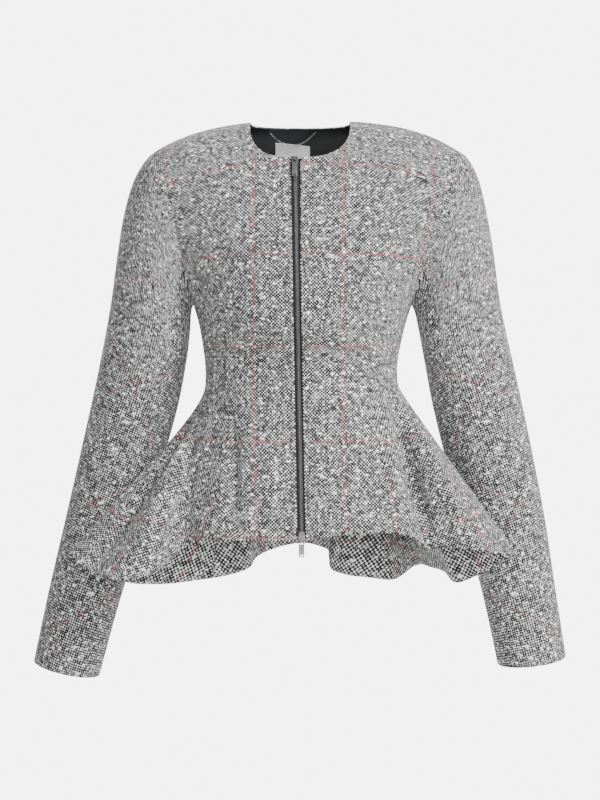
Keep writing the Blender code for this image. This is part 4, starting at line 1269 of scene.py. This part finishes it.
centre, _ = zip_place(0.0, zip_rows)
chain_run = lengths(centre, 0)
tooth_at = np.arange(TOOTH_PITCH / 2, chain_run[-1] - TOOTH_PITCH / 2, TOOTH_PITCH / 2)
tooth_levels = np.interp(tooth_at, chain_run, zip_rows)
tooth_side = alternate(len(tooth_at))
point, outward = zip_place(0.0, tooth_levels)
down = unit(np.gradient(point, axis=0))
across = unit(np.cross(down, outward))
half_wide = (CHAIN_HALF + TOOTH_OVERLAP) / 2
places = point + across * (tooth_side * (CHAIN_HALF - half_wide))[:, None] - outward * TOOTH_SINK
axes = np.stack([across * half_wide, down * TOOTH_HALF_LONG, outward * TOOTH_HALF_HIGH], axis=1)
shape = superellipsoid(TOOTH_RINGS, TOOTH_ROUND, TOOTH_SQUARENESS)
block = tube_faces(TOOTH_RINGS + 1, TOOTH_ROUND)
points, faces = copies(shape.reshape(-1, 3), block, places, axes)
teeth = add_mesh("zip_teeth", points, faces, (GUNMETAL,), merge=POLE_MERGE)
dress(teeth, "zip_chain")
print("teeth:", len(tooth_at))


# %% [markdown]
# ## Sliders and pull tabs
#
# The solids of the sliders and tabs already have the right form, but cast metal has no knife edges.
# A copy of each solid is joined into clean faces and its edges are rounded by a Bevel modifier.
# The tabs ride on their own bodies, because they swing on the sliders.

# %% Rounded metal pieces
SOLID_MERGE = 1e-6
FLAT_ANGLE = math.radians(2.0)
EDGE_ANGLE = math.radians(30.0)
EDGE_SEGMENTS = 3
SLIDER_EDGE = 0.3 * MM
TAB_EDGE = 0.25 * MM


def rounded_copy(name, node, finish, body, width):
    """Copy of a solid with its loose triangles joined, flat faces merged and edges rounded."""
    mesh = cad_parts[node].data.copy()
    mesh.name = name
    mesh.materials.clear()
    mesh.materials.append(finish)
    clean(mesh, SOLID_MERGE, FLAT_ANGLE)
    piece = place_object(name, mesh)
    bevel = piece.modifiers.new("rounded", "BEVEL")
    bevel.width = width
    bevel.segments = EDGE_SEGMENTS
    bevel.limit_method = "ANGLE"
    bevel.angle_limit = EDGE_ANGLE
    bevel.harden_normals = True
    return dress(piece, node, body)


for place in ("top", "bottom"):
    rounded_copy(place + "_slider_body", place + "_slider", STEEL, BODY, SLIDER_EDGE)
    rounded_copy(place + "_pull_tab", place + "_pull", STEEL, place + "_tab", TAB_EDGE)

# %% [markdown]
# ## Inside the back neck
#
# Black satin lines the back neck. A white woven label is sewn on it, left blank, and a fine chain hangs
# between two points of the neck seam to hang the jacket by. Label and chain are made from the points of
# the back, moved in by the cloth and the lining, so that they lie on what carries them.

# %% Lining and label
LINING_GAP = 0.4 * MM
LINING = 1.0 * MM
LINING_T = 0.9
LINING_OVER = 0.012
LINING_TOP = 0.96
LINING_GRID = (36, 90)
LABEL_GAP = 0.6 * MM
LABEL = 0.6 * MM
LABEL_X = (-30.0 * MM, 12.0 * MM)
LABEL_Z = (-45.0 * MM, 3.5 * MM)
LABEL_TILT = 5.0 * MM
LABEL_GRID = (24, 24)
LINING_LOW_SHARE = 7.0 / 9.0
LINING_LOW = FRONT_NECK * LINING_LOW_SHARE


def across_at(face, x, level):
    """Share of the arc at which a face reaches a distance across."""
    reach = np.full_like(level, NEAR_CENTRE)
    return solve(lambda t: skin(face, t, level)[..., 0] - x, -reach, reach)


def neck_top(t):
    """Height up the armhole at which the back neckline crosses each share of the arc, or a little over it."""
    def inside(height):
        half_width = np.where(t >= 0, NECK_HALF[1], NECK_HALF[-1])
        return -beyond_neck("back", half_width, skin("back", t, ARMPIT + height))

    found = solve(inside, np.full_like(t, FRONT_NECK), np.full_like(t, 1.0))
    return np.minimum(found + LINING_OVER, LINING_TOP)


def add_neck_piece(name, node, finish, points, outward, thickness):
    """Thin cloth inside the back neck, with a map of its own lengths."""
    flat = plain_map(points)
    piece = add_cloth(name, node, (finish,), points, outward, (), flat, thickness=thickness)
    size = plain_size(points)
    min(area_of(points), size[0] * size[1])
    print(f"{name}: {size[0] * 1000:.0f} x {size[1] * 1000:.0f} mm")


t = np.linspace(LINING_T, -LINING_T, LINING_GRID[1])[None, :]
share = np.linspace(0.0, 1.0, LINING_GRID[0])[:, None]
levels = ARMPIT + LINING_LOW + (neck_top(t) - LINING_LOW) * share
t = np.broadcast_to(t, levels.shape)
outward = skin_normal("back", t, levels)
points = skin("back", t, levels) - (CLOTH + LINING_GAP) * outward
add_neck_piece("satin_neck_lining", "back_neck_lining", SATIN, points, outward, LINING)

share = np.linspace(1.0, 0.0, LABEL_GRID[1])[None, :]
levels = level_of("back", np.linspace(*LABEL_Z, LABEL_GRID[0])[:, None] - LABEL_TILT * share)
t = across_at("back", LABEL_X[0] + (LABEL_X[1] - LABEL_X[0]) * share, levels)
outward = skin_normal("back", t, levels)
points = skin("back", t, levels) - (CLOTH + LINING_GAP + LINING + LABEL_GAP) * outward
add_neck_piece("blank_label", "neck_label", LABEL_CLOTH, points, outward, LABEL)

# %% Hanger chain
HANGER_X = (-36.0 * MM, 18.0 * MM)
HANGER_END_Z = 16.5 * MM
HANGER_LOW_Z = 1.5 * MM
HANGER_RADIUS = 1.2 * MM
HANGER_GAP = 1.6 * MM
LINK_STEP = 2.3 * MM
LINK_HALF_LONG = 1.5 * MM
LINK_HALF_WIDE = 0.95 * MM
LINK_WIRE = 0.36 * MM
LINK_AROUND, LINK_WIRE_SIDES = 14, 6
LINK_ROLL = math.pi / 4
HANGER_SAMPLES = 200


def resample(at, run, values):
    """Vectors along a path, read at other distances along it."""
    return np.stack([np.interp(at, run, values[:, k]) for k in range(3)], axis=-1)


s = np.linspace(-1.0, 1.0, HANGER_SAMPLES)
x = (HANGER_X[0] + HANGER_X[1]) / 2 + s * (HANGER_X[1] - HANGER_X[0]) / 2
levels = level_of("back", HANGER_LOW_Z + (HANGER_END_Z - HANGER_LOW_Z) * s ** 2)
t = across_at("back", x, levels)
lie = CLOTH + LINING_GAP + LINING + HANGER_GAP + HANGER_RADIUS + (LABEL_GAP + LABEL) * (1.0 - s ** 2)
outward = skin_normal("back", t, levels)
path = skin("back", t, levels) - lie[:, None] * outward
run = lengths(path, 0)
at = np.arange(LINK_STEP / 2, run[-1], LINK_STEP)
places = resample(at, run, path)
facing = unit(resample(at, run, outward))
along = unit(np.gradient(places, axis=0))
crosswise = unit(np.cross(along, facing))
roll = alternate(len(at))[:, None] * LINK_ROLL
wide = crosswise * np.cos(roll) + facing * np.sin(roll)
thick = np.cross(along, wide)
turn = np.linspace(0.0, 2 * math.pi, LINK_AROUND, endpoint=False)[:, None]
bend = np.linspace(0.0, 2 * math.pi, LINK_WIRE_SIDES, endpoint=False)[None, :]
link = np.stack([
    (LINK_HALF_LONG + LINK_WIRE * np.cos(bend)) * np.cos(turn),
    (LINK_HALF_WIDE + LINK_WIRE * np.cos(bend)) * np.sin(turn),
    LINK_WIRE * np.sin(bend) + 0.0 * turn,
], axis=-1)
axes = np.stack([along, wide, thick], axis=1)
points, faces = copies(link.reshape(-1, 3), tube_faces(LINK_AROUND, LINK_WIRE_SIDES, True), places, axes)
dress(add_mesh("hanger_links", points, faces, (BRIGHT_STEEL,)), "hanger_chain")
print("hanger links:", len(at))

# %% [markdown]
# ## Camera, light and floor
#
# The camera stands five metres in front, level, at the height of the middle of the picture. One large
# soft light from high on the viewer's right models the folds, a weaker one near the camera fills them,
# one behind lights the back, and an even pale sky does the rest. The floor is where a wearer's feet would be.

# %% Camera and studio
CAMERA_HEIGHT_SEEN = 0.96
SENSOR = 24.0
FLOOR_Z = -1.40
FLOOR_HALF = 3.0
FLOOR_COLOUR = (0.86, 0.86, 0.85, 1.0)
FLOOR_ROUGHNESS = 0.9
SKY_COLOUR = (1.0, 1.0, 1.0, 1.0)
SKY_LIGHT, SKY_SEEN = 0.5, 6.0
LIT_POINT = (0.0, 0.0, -0.3)
Light = namedtuple("Light", "name place size power")
LIGHTS = [
    Light("key", (2.5, -2.5, 2.3), 1.2, 300.0),
    Light("front", (0.5, -4.7, 0.3), 1.0, 115.0),
    Light("back", (-1.6, 4.2, 1.5), 2.0, 170.0),
]

camera = bpy.data.cameras.new("camera")
camera.sensor_fit = "VERTICAL"
camera.sensor_height = SENSOR
camera.lens = SENSOR * EYE_DISTANCE / CAMERA_HEIGHT_SEEN
eye = place_object("camera", camera)
eye.location = (0.0, -EYE_DISTANCE, EYE_Z)
eye.rotation_euler = (math.pi / 2, 0.0, 0.0)
bpy.context.scene.camera = eye

for row in LIGHTS:
    light = bpy.data.lights.new(row.name, "AREA")
    light.size = row.size
    light.energy = row.power
    lamp = place_object(row.name, light)
    lamp.location = row.place
    direction = np.asarray(LIT_POINT) - np.asarray(row.place)
    yaw = math.atan2(direction[1], direction[0]) - math.pi / 2
    pitch = math.atan2(direction[2], math.hypot(direction[0], direction[1])) + math.pi / 2
    lamp.rotation_euler = (pitch, 0.0, yaw)

world = bpy.data.worlds.new("pale_sky")
world.use_nodes = True
bpy.context.scene.world = world
sky = Weaver(world.node_tree)
background = world.node_tree.nodes["Background"]
background.inputs["Color"].default_value = SKY_COLOUR
seen = sky.node("ShaderNodeLightPath").outputs["Is Camera Ray"]
sky.feed(background.inputs["Strength"], sky.ramp(seen, 0.0, 1.0, SKY_LIGHT, SKY_SEEN))

corners = FLOOR_HALF * np.array([[-1.0, -1.0, 0.0], [1.0, -1.0, 0.0], [1.0, 1.0, 0.0], [-1.0, 1.0, 0.0]])
floor_mesh = bpy.data.meshes.new("floor")
floor_mesh.from_pydata((corners + (0.0, 0.0, FLOOR_Z)).tolist(), [], [[0, 1, 2, 3]])
floor_finish, floor_shader, _ = new_material("pale_floor")
floor_shader.inputs["Base Color"].default_value = FLOOR_COLOUR
floor_shader.inputs["Roughness"].default_value = FLOOR_ROUGHNESS
floor_mesh.materials.append(floor_finish)
floor = place_object("floor", floor_mesh)
